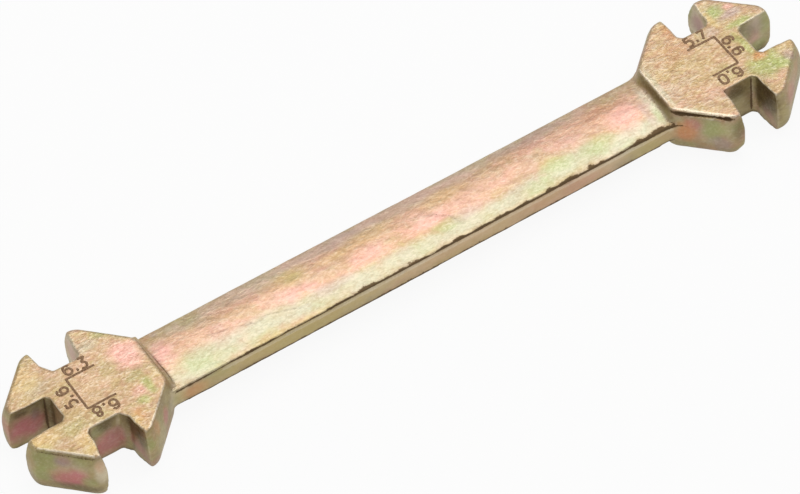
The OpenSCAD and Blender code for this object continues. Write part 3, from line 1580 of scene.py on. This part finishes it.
@dataclass(frozen=True)
class Studio:
    """White table, soft lights and the photograph's camera, in metres."""

    lens: float = 296.6
    sensor: float = 36
    clip: tuple[float, float] = (0.05, 20)
    eye: tuple[float, float, float] = (-0.31502, -0.58435, 0.83642)
    turn: tuple[tuple[float, float, float], ...] = (
        (0.8437, 0.5338, 0.0569),
        (-0.4488, 0.6432, 0.6204),
        (0.2946, -0.5490, 0.7822),
    )
    sky: float = 0.45
    key: float = 3.3
    key_place: tuple[float, float, float] = (0.2, 0.16, 0.7)
    lamp_size: tuple[float, float] = (0.9, 0.6)
    table_half: float = 3
    paper: tuple[float, float, float, float] = (0.8, 0.8, 0.79, 1)
    paper_glow: float = 0.92
    mirrored_glow: float = 0.5

    def camera(self) -> None:
        """Puts up a long lens above the near left."""
        data = bpy.data.cameras.new("camera")
        data.lens = self.lens
        data.sensor_width = self.sensor
        data.clip_start, data.clip_end = self.clip
        camera = put_in_scene("camera", data)
        flip = Matrix(((1, 0, 0), (0, -1, 0), (0, 0, -1)))
        rotation = (flip @ Matrix(self.turn) @ flip).transposed()
        camera.rotation_mode = "QUATERNION"
        camera.rotation_quaternion = rotation.to_quaternion()
        camera.location = self.eye
        bpy.context.scene.camera = camera

    def table(self) -> None:
        """Lays a white table top, which shows white and keeps a soft shadow."""
        bm = bmesh.new()
        bmesh.ops.create_grid(bm, x_segments=1, y_segments=1, size=self.table_half)
        top = object_from(bm, "table_top")
        made = bpy.data.materials.new("white_paper")
        desk = NodeDesk.cleared(made)
        path = desk.add("ShaderNodeLightPath").outputs
        seen = desk.math("MAXIMUM", path["Is Camera Ray"], path["Is Transmission Ray"])
        seen = desk.times(seen, self.paper_glow)
        mirrored = desk.times(path["Is Glossy Ray"], self.mirrored_glow)
        paper = desk.add("ShaderNodeBsdfDiffuse", Color=self.paper)
        glow = desk.add("ShaderNodeEmission", Color=WHITE, Strength=1.0)
        mixed = desk.add("ShaderNodeMixShader", in0=desk.math("MAXIMUM", seen, mirrored),
                         in1=paper.outputs[0], in2=glow.outputs[0])
        # From below the table is clear, so that the underside can be looked at
        below = desk.add("ShaderNodeNewGeometry").outputs["Backfacing"]
        clear = desk.add("ShaderNodeBsdfTransparent")
        mixed = desk.add("ShaderNodeMixShader", in0=below, in1=mixed.outputs[0],
                         in2=clear.outputs[0])
        desk.add("ShaderNodeOutputMaterial", Surface=mixed.outputs[0])
        top.data.materials.append(made)

    def lights(self) -> None:
        """Puts up an even sky and one large soft lamp overhead."""
        world = bpy.data.worlds.new("studio_sky")
        desk = NodeDesk.cleared(world)
        path = desk.add("ShaderNodeLightPath").outputs
        plain = desk.add("ShaderNodeBackground", Color=WHITE, Strength=self.sky)
        white = desk.add("ShaderNodeBackground", Color=WHITE, Strength=1.0)
        mixed = desk.add("ShaderNodeMixShader", in0=path["Is Camera Ray"],
                         in1=plain.outputs[0], in2=white.outputs[0])
        desk.add("ShaderNodeOutputWorld", Surface=mixed.outputs[0])
        bpy.context.scene.world = world
        data = bpy.data.lights.new("overhead_softbox", "AREA")
        data.shape = "RECTANGLE"
        data.size, data.size_y = self.lamp_size
        data.energy = self.key
        lamp = put_in_scene("overhead_softbox", data)
        lamp.location = self.key_place
        lamp.rotation_euler = Vector(self.key_place).to_track_quat("Z", "Y").to_euler()


# This wrench

# Each head's corners, counted against the clock from +X, and how far the forging misses the
# even octagon there
LEFT_HEAD = ForgedHead(
    centre_x=-HEAD_X,
    corner_push=((0, 0), (0, 0), (0.25, -0.28), (0.28, -0.25), (0, 0), (0, 0), (0, 0), (0, 0)),
    slots=(
        SpokeSlot(90, 6.3, 6.6, (0.35, 0.25), (0.5, 0.25), corner_left=(1.3, 2.2)),
        SpokeSlot(180, 5.6, 5.1),
        SpokeSlot(270, 6.8, 6.6, (0.6, 0.2), (0.75, 0.2), corner_left=(1.1, 1.5),
                  corner_right=(0.55, 0.5)),
    ),
)

RIGHT_HEAD = ForgedHead(
    centre_x=HEAD_X,
    corner_push=((0, 0), (0, -0.35), (0.1, -0.45), (0, 0), (0, 0), (0, 0), (0, 0), (0, 0)),
    broken=(BrokenCorner((56.8, -12.9, 1.95), (0.56, -0.45, -0.7)),),
    foot_steps=((0.0, -0.35), (0.35, 0.1), (1.0, 0.6), (2.0, 0.9), (3.2, 1.0)),
    slots=(
        SpokeSlot(90, 5.7, 6.55, (0.35, 0.05), (0.45, -0.25)),
        SpokeSlot(0, 6.6, 6.2),
        SpokeSlot(270, 6.0, 6.5, (0.35, 0.05), (0.5, 0.05), corner_right=(0.25, 0.25)),
    ),
)

COLLARS = (NeckCollar(-1, 0.55, 1.05, 8.7, 8.0, 5.7),)

GROOVES = (
    RaggedGroove((-46.6, -6.25, 6.22), (46.9, -6.05, 6.24), (0, 1, 0), 0.4, 0.26, 3.0, nibble=0.12,
                 lip_slope=1.4),
    RaggedGroove((-45.8, 6.25, 6.0), (46.2, 6.05, 6.0), (0, -1, 0), 0.4, 0.3, 61.0, nibble=0.1),
    RaggedGroove((48.0, -5.2, 8.62), (55.3, -12.3, 8.72), (1, 1, 0), 0.5, 0.45, 17.0, nibble=0.12,
                 taper=0.8),
)

# Painted shade along the trimmed flash (with some real residue there), round the necks, under the
# rims, in slot corners and along the band's lower edge; darker lines along the laps; painted
# highlights on the rims of the faces and the band's top lip
EDGE_STROKES = (
    EdgeStroke((
        (-47.2, -6.1, 6.28, 0.34), (-44.0, -6.15, 6.3, 0.44), (-36.4, -6.15, 6.32, 0.36),
        (-35.4, -6.15, 6.32, 0.48), (-34.0, -6.15, 6.34, 0.69), (-32.2, -6.15, 6.32, 0.54),
        (-26.0, -6.15, 6.3, 0.42), (-19.6, -6.1, 6.3, 0.44), (-18.2, -6.1, 6.3, 0.56),
        (-14.0, -6.1, 6.3, 0.44), (-12.6, -6.1, 6.32, 0.58), (-10.2, -6.1, 6.3, 0.58),
        (-9.0, -6.1, 6.28, 0.52), (-6.0, -6.1, 6.28, 0.64), (0.0, -6.1, 6.28, 0.58),
        (4.6, -6.1, 6.28, 0.66), (6.4, -6.1, 6.3, 0.84), (8.6, -6.1, 6.28, 0.64),
        (13.0, -6.1, 6.28, 0.68), (16.0, -6.05, 6.28, 0.82), (20.0, -6.05, 6.28, 0.64),
        (24.0, -6.05, 6.28, 0.8), (28.0, -6.0, 6.28, 0.62), (36.0, -6.0, 6.28, 0.7),
        (42.0, -6.0, 6.3, 0.64), (45.4, -6.0, 6.32, 0.84), (47.4, -6.0, 6.32, 0.64),
    ), fray=0.75),
    EdgeStroke((
        (-46.4, -6.15, 6.3, 0.6), (-20.0, -6.1, 6.3, 0.8), (47.0, -6.0, 6.3, 0.9),
    ), 0.5, 0.9, 2.0),
    EdgeStroke((
        (47.9, -4.9, 8.66, 0.3), (48.9, -5.9, 8.6, 0.75), (50.4, -7.4, 8.62, 0.55),
        (52.4, -9.4, 8.68, 0.36), (53.2, -10.2, 8.7, 0.42), (54.6, -11.6, 8.7, 0.6),
        (55.4, -12.3, 8.76, 0.2),
    ), fray=0.3),
    EdgeStroke(((47.8, -6.0, 7.0, 0.2), (47.6, -6.2, 6.4, 0.5), (49.4, -7.5, 6.5, 0.14)), sink=1.6),
    EdgeStroke((
        (-48.05, -5.6, 8.85, 0.5), (-48.05, 0.0, 8.95, 0.42), (-48.05, 4.8, 9.0, 0.26),
    ), 0.6, 0.4, 1.0),
    EdgeStroke((
        (-46.95, -5.6, 7.2, 0.5), (-47.2, -1.0, 7.6, 0.46), (-47.6, 4.4, 7.75, 0.3),
    ), 0.45, 0.5, 1.0),
    EdgeStroke((
        (-47.9, -5.8, 8.8, 0.6), (-47.4, -6.2, 7.2, 0.5), (-47.0, -6.3, 6.3, 0.35),
    ), 0.7, 0.5, 1.2),
    EdgeStroke((
        (-72.3, -5.4, 8.8, 0.42), (-68.9, -8.8, 8.8, 0.3), (-65.6, -12.15, 8.8, 0.4),
    ), 0.66, 0.5, 1.0),
    EdgeStroke(((-66.1, 2.85, 9.0, 0.38), (-66.1, 2.85, 1.0, 0.38)), 0.5, 0.3, 1.0),
    EdgeStroke(((-57.5, -6.6, 9.0, 0.4), (-57.4, -6.7, 6.4, 0.3)), 0.8, 0.7, 1.0),
    EdgeStroke(((-56.95, -7.4, 8.8, 0.4), (-56.7, -11.6, 8.7, 0.6)), 0.75, 0.5, 1.2),
    EdgeStroke(((62.6, -6.6, 9.0, 0.36), (62.6, -6.6, 0.6, 0.36)), 0.47, 0.3, 1.0),
    EdgeStroke(((63.4, -7.5, 8.9, 0.2), (63.6, -11.4, 8.8, 0.4)), 0.6, 0.5, 1.0),
    # Painted shade along the band's lower edge
    EdgeStroke(((-46.4, -6.2, 2.85, 0.6), (46.4, -6.0, 2.85, 0.6)), 1.0, 0.3, 4.0),
    EdgeStroke((
        (-38.0, -0.2, 7.45, 0.12), (-35.7, -0.7, 7.42, 0.16), (-33.6, -0.9, 7.4, 0.1),
        (-32.3, -1.5, 7.38, 0.18), (-30.9, -1.4, 7.4, 0.12), (-30.1, -2.3, 7.3, 0.18),
        (-28.8, -2.5, 7.28, 0.1), (-27.5, -1.9, 7.35, 0.16), (-24.5, -2.9, 7.25, 0.1),
        (-20.8, -3.8, 7.1, 0.12),
    ), 0.4, 0.3, 1.0),
    EdgeStroke((
        (3.2, 0.5, 7.45, 0.1), (5.2, 0.1, 7.45, 0.2), (7.0, -1.4, 7.4, 0.16),
        (8.5, -4.2, 7.05, 0.12),
    ), 0.45, 0.3, 1.0),
    # Painted highlights along the band's top lip and the near rims of the faces
    EdgeStroke(((-38.0, -6.2, 5.76, 0.5), (47.0, -6.0, 5.76, 0.55)), 1.7, 0.4, 2.5, True),
    EdgeStroke((
        (48.5, -4.9, 9.25, 0.3), (52.0, -8.6, 9.25, 0.5), (56.0, -12.4, 9.25, 0.4),
    ), 0.9, 0.4, 1.0, True),
    EdgeStroke(((48.3, -4.6, 9.3, 0.3), (48.4, 5.2, 9.3, 0.35)), 0.6, 0.7, 1.0, True),
    EdgeStroke((
        (-48.6, -5.6, 9.25, 0.3), (-51.6, -8.6, 9.25, 0.45), (-55.4, -12.0, 9.25, 0.35),
    ), 0.8, 0.5, 1.0, True),
    EdgeStroke(((-71.9, -5.3, 9.25, 0.3), (-65.5, -11.7, 9.25, 0.3)), 0.9, 0.5, 1.0, True),
)

LAPS = (
    Lap((
        (-38.0, -0.2), (-35.7, -0.6), (-32.3, -1.4), (-30.1, -2.3), (-27.5, -2.0), (-24.5, -3.0),
        (-20.8, -3.9),
    )),
    Lap(((3.6, 0.3), (5.2, -0.1), (7.3, -2.0), (8.3, -4.2))),
)


def blooms(**rows: tuple[tuple[float, ...], ...]) -> tuple[Bloom, ...]:
    """Patches of the film, listed by tint.

    Args:
        **rows: For each tint, rows of place, reach, amount and, where it is turned, degrees.

    Returns:
        The patches, in the order of the rows.
    """
    return tuple(
        Bloom(Tint[name.upper()], row[:3], row[3:6], *row[6:])
        for name, group in rows.items() for row in group
    )


# Tints of the left head, on its face and then on its walls; the olive patches in the slots and low on
# the near walls are painted shade, and the pale streaks on the walls painted highlights
LEFT_BLOOMS = blooms(
    olive=(
        (-63.0, -2.0, 9.3, 16.0, 16.0, 1.0, 0.2), (-68.0, -2.0, 9.3, 6.0, 14.0, 1.0, 0.14),
        (-65.4, -11.0, 9.3, 2.6, 0.9, 1, 0.3), (-68.0, -10.8, 1.8, 4.5, 4.5, 1.2, 0.6),
        (-70.4, 2.9, 8.0, 1.6, 0.8, 0.8, 0.8), (-65.8, 2.0, 5.0, 0.9, 1.6, 5.0, 0.9),
        (-60.4, -6.6, 8.2, 2.0, 0.8, 1.6, 0.8), (-56.6, -8.6, 7.6, 0.9, 3.6, 2.6, 0.95),
        (-56.2, -11.0, 6.0, 0.9, 1.8, 3.0, 0.7),
    ),
    rose=(
        (-50.9, 2.9, 9.3, 3.0, 3.4, 3, 1.0), (-52.8, -4.8, 9.3, 1.7, 1.3, 3, 0.8),
        (-59.0, 0.2, 9.3, 3.6, 3.2, 3, 0.45), (-69.0, -9.8, 4.2, 3.5, 3.5, 2.5, 0.95),
        (-69.8, 2.9, 4.2, 4.4, 0.8, 3.4, 0.95), (-59.8, -6.6, 3.2, 5.0, 0.8, 3.4, 0.8),
        (-56.4, -9.4, 3.6, 0.8, 3.0, 2.6, 0.6), (-51.0, -9.1, 5.8, 1.4, 1.4, 2.0, 0.6),
        (-73.2, 4.2, 6.2, 0.8, 3.0, 2.4, 0.45), (-57.0, 10.2, 6.3, 0.6, 2.6, 2.6, 0.4),
    ),
    green=(
        (-51.0, -4.6, 9.3, 1.0, 2.2, 3, 0.8), (-53.2, -6.6, 9.3, 1.4, 1.0, 3, 0.7),
        (-52.2, -1.6, 9.3, 2.0, 1.0, 3, 0.5, 20), (-52.6, 8.7, 9.3, 1.4, 1.0, 3, 0.5),
        (-65.0, -5.4, 9.3, 2.6, 1.6, 3, 0.45), (-65.4, 1.5, 7.0, 0.8, 0.8, 2.4, 0.4),
        (-71.7, -6.6, 7.2, 2.5, 2.5, 2.8, 0.85), (-72.3, -6.0, 4.2, 1.9, 1.9, 2.4, 0.8),
        (-68.4, -10.2, 8.2, 4.0, 4.0, 1.2, 0.5), (-66.8, -11.8, 3.4, 1.5, 1.5, 1.8, 0.8),
        (-62.0, -6.6, 7.4, 1.6, 0.8, 1.4, 0.7), (-56.0, -12.7, 6.8, 1.0, 1.0, 2.6, 0.7),
    ),
    pale=(
        (-55.8, 7.6, 9.3, 2.2, 1.4, 3, 0.55), (-66.6, 5.6, 9.3, 2.2, 3.0, 3, 0.5),
        (-66.9, 2.9, 6.0, 0.55, 0.8, 3.4, 0.5), (-58.3, -6.6, 7.4, 0.5, 0.8, 1.5, 0.5),
        (-65.0, -12.7, 6.0, 1.4, 1.2, 3.4, 0.8), (-69.4, -9.4, 6.4, 4.0, 4.0, 2.2, 0.35),
        (-57.4, -6.7, 5.2, 0.5, 0.6, 3.6, 0.6), (-73.2, 6.8, 7.0, 0.8, 1.6, 2.0, 0.5),
        (-57.0, 10.4, 5.6, 0.9, 3.6, 4.6, 0.9),
    ),
    ember=(
        (-55.2, -8.8, 9.3, 1.1, 1.6, 3, 0.7), (-65.1, -12.5, 7.3, 1.0, 1.0, 1.5, 0.4),
        (-53.8, -11.4, 7.5, 1.1, 1.1, 1.6, 0.5),
    ),
    gold=(
        (-70.5, -4.6, 9.3, 3.4, 2.0, 1.0, 0.6), (-64.0, -9.0, 9.3, 3.0, 2.6, 1.0, 0.6),
        (-67.6, 7.4, 9.3, 3.2, 3.4, 1.0, 0.6), (-56.6, -9.4, 9.3, 1.6, 2.4, 1.0, 0.5),
    ),
    lilac=(
        (-69.6, -8.7, 7.7, 1.6, 1.6, 1.2, 0.9), (-68.0, 2.8, 6.6, 1.0, 0.8, 2.5, 0.7),
    ),
)

# Tints of the shank, on the crown and then on the trimmed band; the pale patches along the near side
# of the crown are partly a painted sheen, the pale strip on the band's top lip and the pale patch at
# the near left neck are painted highlights, and the olive patches low on the band painted shade
SHANK_BLOOMS = blooms(
    rose=(
        (-34.0, 1.2, 7.4, 15.0, 3.8, 2, 0.45, 2), (-12.0, 1.0, 7.4, 16.0, 3.8, 2, 0.5, 4),
        (12.0, 1.0, 7.4, 16.0, 3.8, 2, 0.5), (34.0, 1.8, 7.4, 14.0, 3.6, 2, 0.5, -3),
        (0.0, 5.0, 7.1, 46.0, 1.4, 2, 0.4), (-45.4, 0.0, 7.3, 2.6, 3.6, 2, 0.85),
        (-20.6, -1.2, 7.4, 4.4, 1.6, 2, 0.5), (-8.0, -1.2, 7.4, 5.0, 1.6, 2, 0.55),
        (3.4, -0.9, 7.4, 4.4, 1.6, 2, 0.65), (42.0, -0.5, 7.4, 4.4, 2.6, 2, 0.8),
        (26.0, -6.1, 4.4, 9.0, 1, 2.4, 0.25),
    ),
    pale=(
        (0.0, 5.2, 7.0, 50.0, 1.8, 2, 0.7), (-39.0, -3.8, 7.0, 10.0, 3.0, 2, 1.0, 3),
        (-28.0, -3.2, 7.0, 9.0, 2.4, 2, 1.0, 4), (-20.0, -3.6, 7.0, 8.0, 2.0, 2, 0.9),
        (-12.0, -4.4, 7.0, 10.0, 2.0, 2, 0.9), (-1.0, -4.4, 7.0, 9.0, 1.9, 2, 0.85),
        (10.0, -4.4, 7.0, 9.0, 1.9, 2, 0.85), (21.0, -4.2, 7.0, 9.0, 2.0, 2, 0.9, 3),
        (31.0, -3.6, 7.0, 10.0, 2.4, 2, 1.0), (41.0, -4.4, 7.0, 7.0, 1.9, 2, 1.0),
        (46.6, -1.0, 7.6, 1.0, 5.4, 2, 1.0), (-33.0, 4.0, 7.2, 14.0, 1.6, 2, 0.4),
        (4.0, 4.4, 7.2, 18.0, 1.4, 2, 0.3), (18.0, -6.1, 5.0, 34.0, 1, 2.4, 0.85),
        (-24.0, -6.1, 5.0, 30.0, 1, 2.4, 0.5), (-2.0, -6.1, 5.76, 60.0, 1.4, 0.45, 1.0),
        (-47.2, -7.4, 4.8, 2.2, 2.2, 2.6, 0.95),
    ),
    ember=(
        (-46.2, 5.2, 7.0, 1.2, 0.9, 2, 0.4), (-33.0, 2.4, 7.4, 6.0, 1.8, 2, 0.25),
        (-9.0, 1.6, 7.4, 5.0, 1.4, 2, 0.25), (21.0, 3.4, 7.4, 6.0, 1.6, 2, 0.25),
        (38.5, 2.6, 7.4, 5.6, 1.8, 2, 0.3), (16.0, -6.1, 4.8, 30.0, 1, 2.4, 0.42),
        (-44.0, -6.1, 4.6, 3.0, 1, 1.8, 0.85),
    ),
    lilac=(
        (-44.6, 5.2, 7.0, 0.8, 0.7, 2, 0.8), (-10.0, 4.4, 7.2, 7.0, 1.4, 2, 0.35),
        (-17.0, -3.0, 7.2, 5.0, 1.2, 2, 0.45), (9.5, -2.6, 7.2, 4.0, 1.2, 2, 0.45),
        (27.0, 4.6, 7.2, 8.0, 1.4, 2, 0.3), (45.2, -1.8, 7.6, 0.9, 3.4, 2, 0.6),
    ),
    green=(
        (-41.6, -3.2, 7.3, 4.6, 2.4, 2, 0.42), (-20.0, 2.2, 7.4, 2.0, 1.0, 2, 0.4),
        (5.6, -2.9, 7.2, 3.2, 1.3, 2, 0.5), (27.4, -2.4, 7.2, 4.4, 1.9, 2, 0.5),
        (34.4, -3.0, 7.2, 4.2, 2.0, 2, 0.5), (22.3, -4.6, 7.2, 3.6, 1.6, 2, 0.45),
        (46.6, -3.4, 7.6, 0.7, 1.8, 2, 0.35), (-40.0, -6.1, 5.0, 4.0, 1, 1.6, 0.5),
        (-47.0, -7.0, 4.6, 1.6, 1.6, 2.0, 0.5), (-24.0, -6.1, 4.4, 7.0, 1, 1.4, 0.5),
        (8.0, -6.1, 3.6, 6.0, 1, 1.2, 0.3), (41.0, -6.1, 4.4, 4.0, 1, 1.8, 0.5),
    ),
    gold=(
        (-20.2, 2.4, 7.4, 4.4, 2.0, 2, 0.55), (-5.8, 2.7, 7.4, 5.4, 1.9, 2, 0.5),
        (8.8, 2.4, 7.4, 5.6, 1.9, 2, 0.55), (-14.0, 2.0, 7.4, 4.0, 1.2, 2, 0.5),
        (-26.0, -6.1, 4.8, 20.0, 1, 2.4, 1.0), (44.0, -6.1, 4.8, 5.0, 1, 2.4, 0.7),
        (12.0, -6.1, 4.8, 26.0, 1, 2.4, 0.3), (-46.8, -7.0, 4.8, 1.8, 1.8, 2.4, 0.6),
    ),
    olive=(
        (-32.8, -6.1, 3.0, 4.0, 1, 1.0, 0.5), (-17.0, -6.1, 2.7, 4.5, 1, 0.9, 0.5),
    ),
)

# Tints of the right head, on its face and then on its walls; the olive patches on the walls and on the
# step by the shank are painted shade, and the pale patches on the walls and on the rim by the shank
# painted highlights
RIGHT_BLOOMS = blooms(
    green=(
        (65.5, 8.2, 9.3, 1.7, 1.8, 3, 0.9), (67.4, 4.1, 9.3, 2.6, 0.9, 3, 0.85),
        (66.2, -5.6, 9.3, 4.0, 3.2, 3, 0.82, 30), (65.6, -0.6, 9.3, 0.7, 2.6, 3, 0.7),
        (68.6, -7.0, 9.3, 1.8, 1.6, 3, 0.8), (72.1, 3.4, 6.4, 1.5, 0.8, 3.4, 0.8),
        (68.4, 3.4, 6.4, 1.8, 0.8, 2.6, 0.7), (70.4, 3.4, 2.0, 2.4, 0.8, 1.6, 0.8),
        (63.4, 12.3, 6.9, 0.8, 0.9, 3.0, 0.9), (52.6, -10.4, 6.0, 2.2, 2.2, 2.6, 0.85),
        (55.0, -12.6, 6.0, 2.0, 2.0, 2.6, 0.5), (65.2, 1.6, 9.3, 1.0, 1.6, 3, 0.6),
    ),
    lilac=(
        (67.4, 6.4, 9.3, 3.0, 0.9, 3, 0.9), (62.8, 4.8, 9.3, 1.5, 1.0, 3, 0.4),
        (70.2, -6.2, 9.3, 1.0, 1.4, 3, 0.7), (70.0, 3.4, 6.8, 2.0, 0.8, 2.4, 0.5),
        (63.3, 10.3, 5.9, 0.8, 2.2, 2.8, 0.6), (53.4, -11.4, 3.4, 2.0, 2.0, 2.0, 0.7),
    ),
    pale=(
        (64.4, 7.4, 9.3, 0.9, 1.2, 3, 0.6), (69.6, 3.4, 6.0, 3.8, 0.8, 4.2, 1.0),
        (63.2, 10.4, 6.0, 0.9, 3.6, 4.4, 0.8), (53.0, -10.8, 5.4, 4.0, 4.0, 3.4, 0.4),
        (62.7, -6.9, 5.4, 0.25, 0.8, 4.0, 0.6), (48.9, 0.0, 9.3, 0.6, 5.0, 1, 0.8),
        (50.6, -6.9, 9.3, 1.6, 0.6, 1, 0.8, -45),
    ),
    ember=(
        (66.3, -3.7, 9.3, 1.7, 1.1, 3, 1.0), (56.8, 8.8, 9.3, 1.0, 2.2, 3, 0.6),
        (54.5, 4.6, 9.3, 3.4, 2.4, 3, 0.3), (49.3, -7.2, 5.0, 2.2, 2.2, 2.6, 0.9),
    ),
    rose=(
        (56.0, -6.4, 9.3, 3.2, 1.6, 3, 0.3), (69.8, 3.4, 4.6, 1.8, 0.8, 2.2, 0.5),
        (63.3, 9.6, 6.4, 0.8, 1.8, 2.2, 0.45), (50.3, -8.0, 7.0, 2.0, 2.0, 1.8, 0.6),
        (63.4, -10.2, 3.2, 0.7, 1.8, 1.6, 0.4), (67.4, -11.1, 6.6, 2.4, 2.4, 2.2, 0.5),
        (67.6, 8.0, 9.3, 1.4, 0.8, 3, 0.7),
    ),
    olive=(
        (58.0, -3.0, 9.3, 12.0, 12.0, 1.0, 0.08), (67.2, 3.3, 8.0, 1.0, 0.8, 1.2, 0.3),
        (71.0, 3.4, 1.0, 2.0, 0.8, 1.0, 0.4), (56.3, -12.9, 6.2, 1.6, 1.2, 2.6, 0.5),
        (59.6, -6.6, 7.0, 2.2, 0.8, 2.4, 0.9), (63.6, -9.6, 6.4, 1.0, 3.8, 4.6, 1.0),
        (48.0, 0.4, 8.6, 0.5, 5.4, 1.0, 0.7),
    ),
    gold=(
        (63.9, 6.6, 9.3, 0.7, 2.4, 3, 0.7),
    ),
)

LEFT_MARKS = EtchedFace(
    "etched_sizes_left",
    EtchedBracket(((-56.2, 3.85), (-61.4, 3.85), (-61.45, -3.1), (-56.25, -3.1))),
    (
        EtchedSize("6.3", ((-60.3, 5.3), (-58.85, 4.5), (-57.35, 5.35)), 0),
        EtchedSize("5.6", ((-63.1, -0.9), (-62.25, 0.5), (-63.05, 2.1)), 90),
        EtchedSize("6.8", ((-57.5, -4.65), (-58.95, -3.8), (-60.4, -4.5)), 180),
    ),
)

RIGHT_MARKS = EtchedFace(
    "etched_sizes_right",
    EtchedBracket(((57.1, 3.8), (62.35, 3.75), (62.5, -3.0), (57.55, -3.05))),
    (
        EtchedSize("5.7", ((58.15, 5.15), (59.65, 4.55), (60.95, 5.2)), 0),
        EtchedSize("6.6", ((63.8, 1.9), (63.1, 0.5), (63.9, -0.9)), 270),
        EtchedSize("6.0", ((61.4, -4.6), (60.0, -3.65), (58.6, -4.6)), 180),
    ),
)


def main() -> None:
    """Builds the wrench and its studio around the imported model."""
    logging.basicConfig(level=logging.INFO, format="%(name)s: %(message)s")
    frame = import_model()
    LOG.info("frame holds %s", sorted(frame["nodes"]))
    forging = WrenchForging(
        heads=(LEFT_HEAD, RIGHT_HEAD),
        shank=Shank(),
        grooves=GROOVES,
        blooms=LEFT_BLOOMS + SHANK_BLOOMS + RIGHT_BLOOMS,
        laps=LAPS,
        strokes=EDGE_STROKES,
        collars=COLLARS,
    )
    piece = forging.build()
    piece.data.materials.clear()
    piece.data.materials.append(ZincFilm().material())
    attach(piece, CAD_BODY)
    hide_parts(CAD_NODE)
    LOG.info("%s: %d faces", piece.name, len(piece.data.polygons))
    brown = EtchedBrown().material()
    for face in (LEFT_MARKS, RIGHT_MARKS):
        marks = face.build(forging.skin_tree())
        marks.data.materials.append(brown)
        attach(marks, CAD_BODY)
        LOG.info("%s: %d faces", marks.name, len(marks.data.polygons))
    studio = Studio()
    studio.camera()
    studio.table()
    studio.lights()
    bpy.context.scene.view_settings.view_transform = "Standard"


if __name__ == "__main__":
    main()
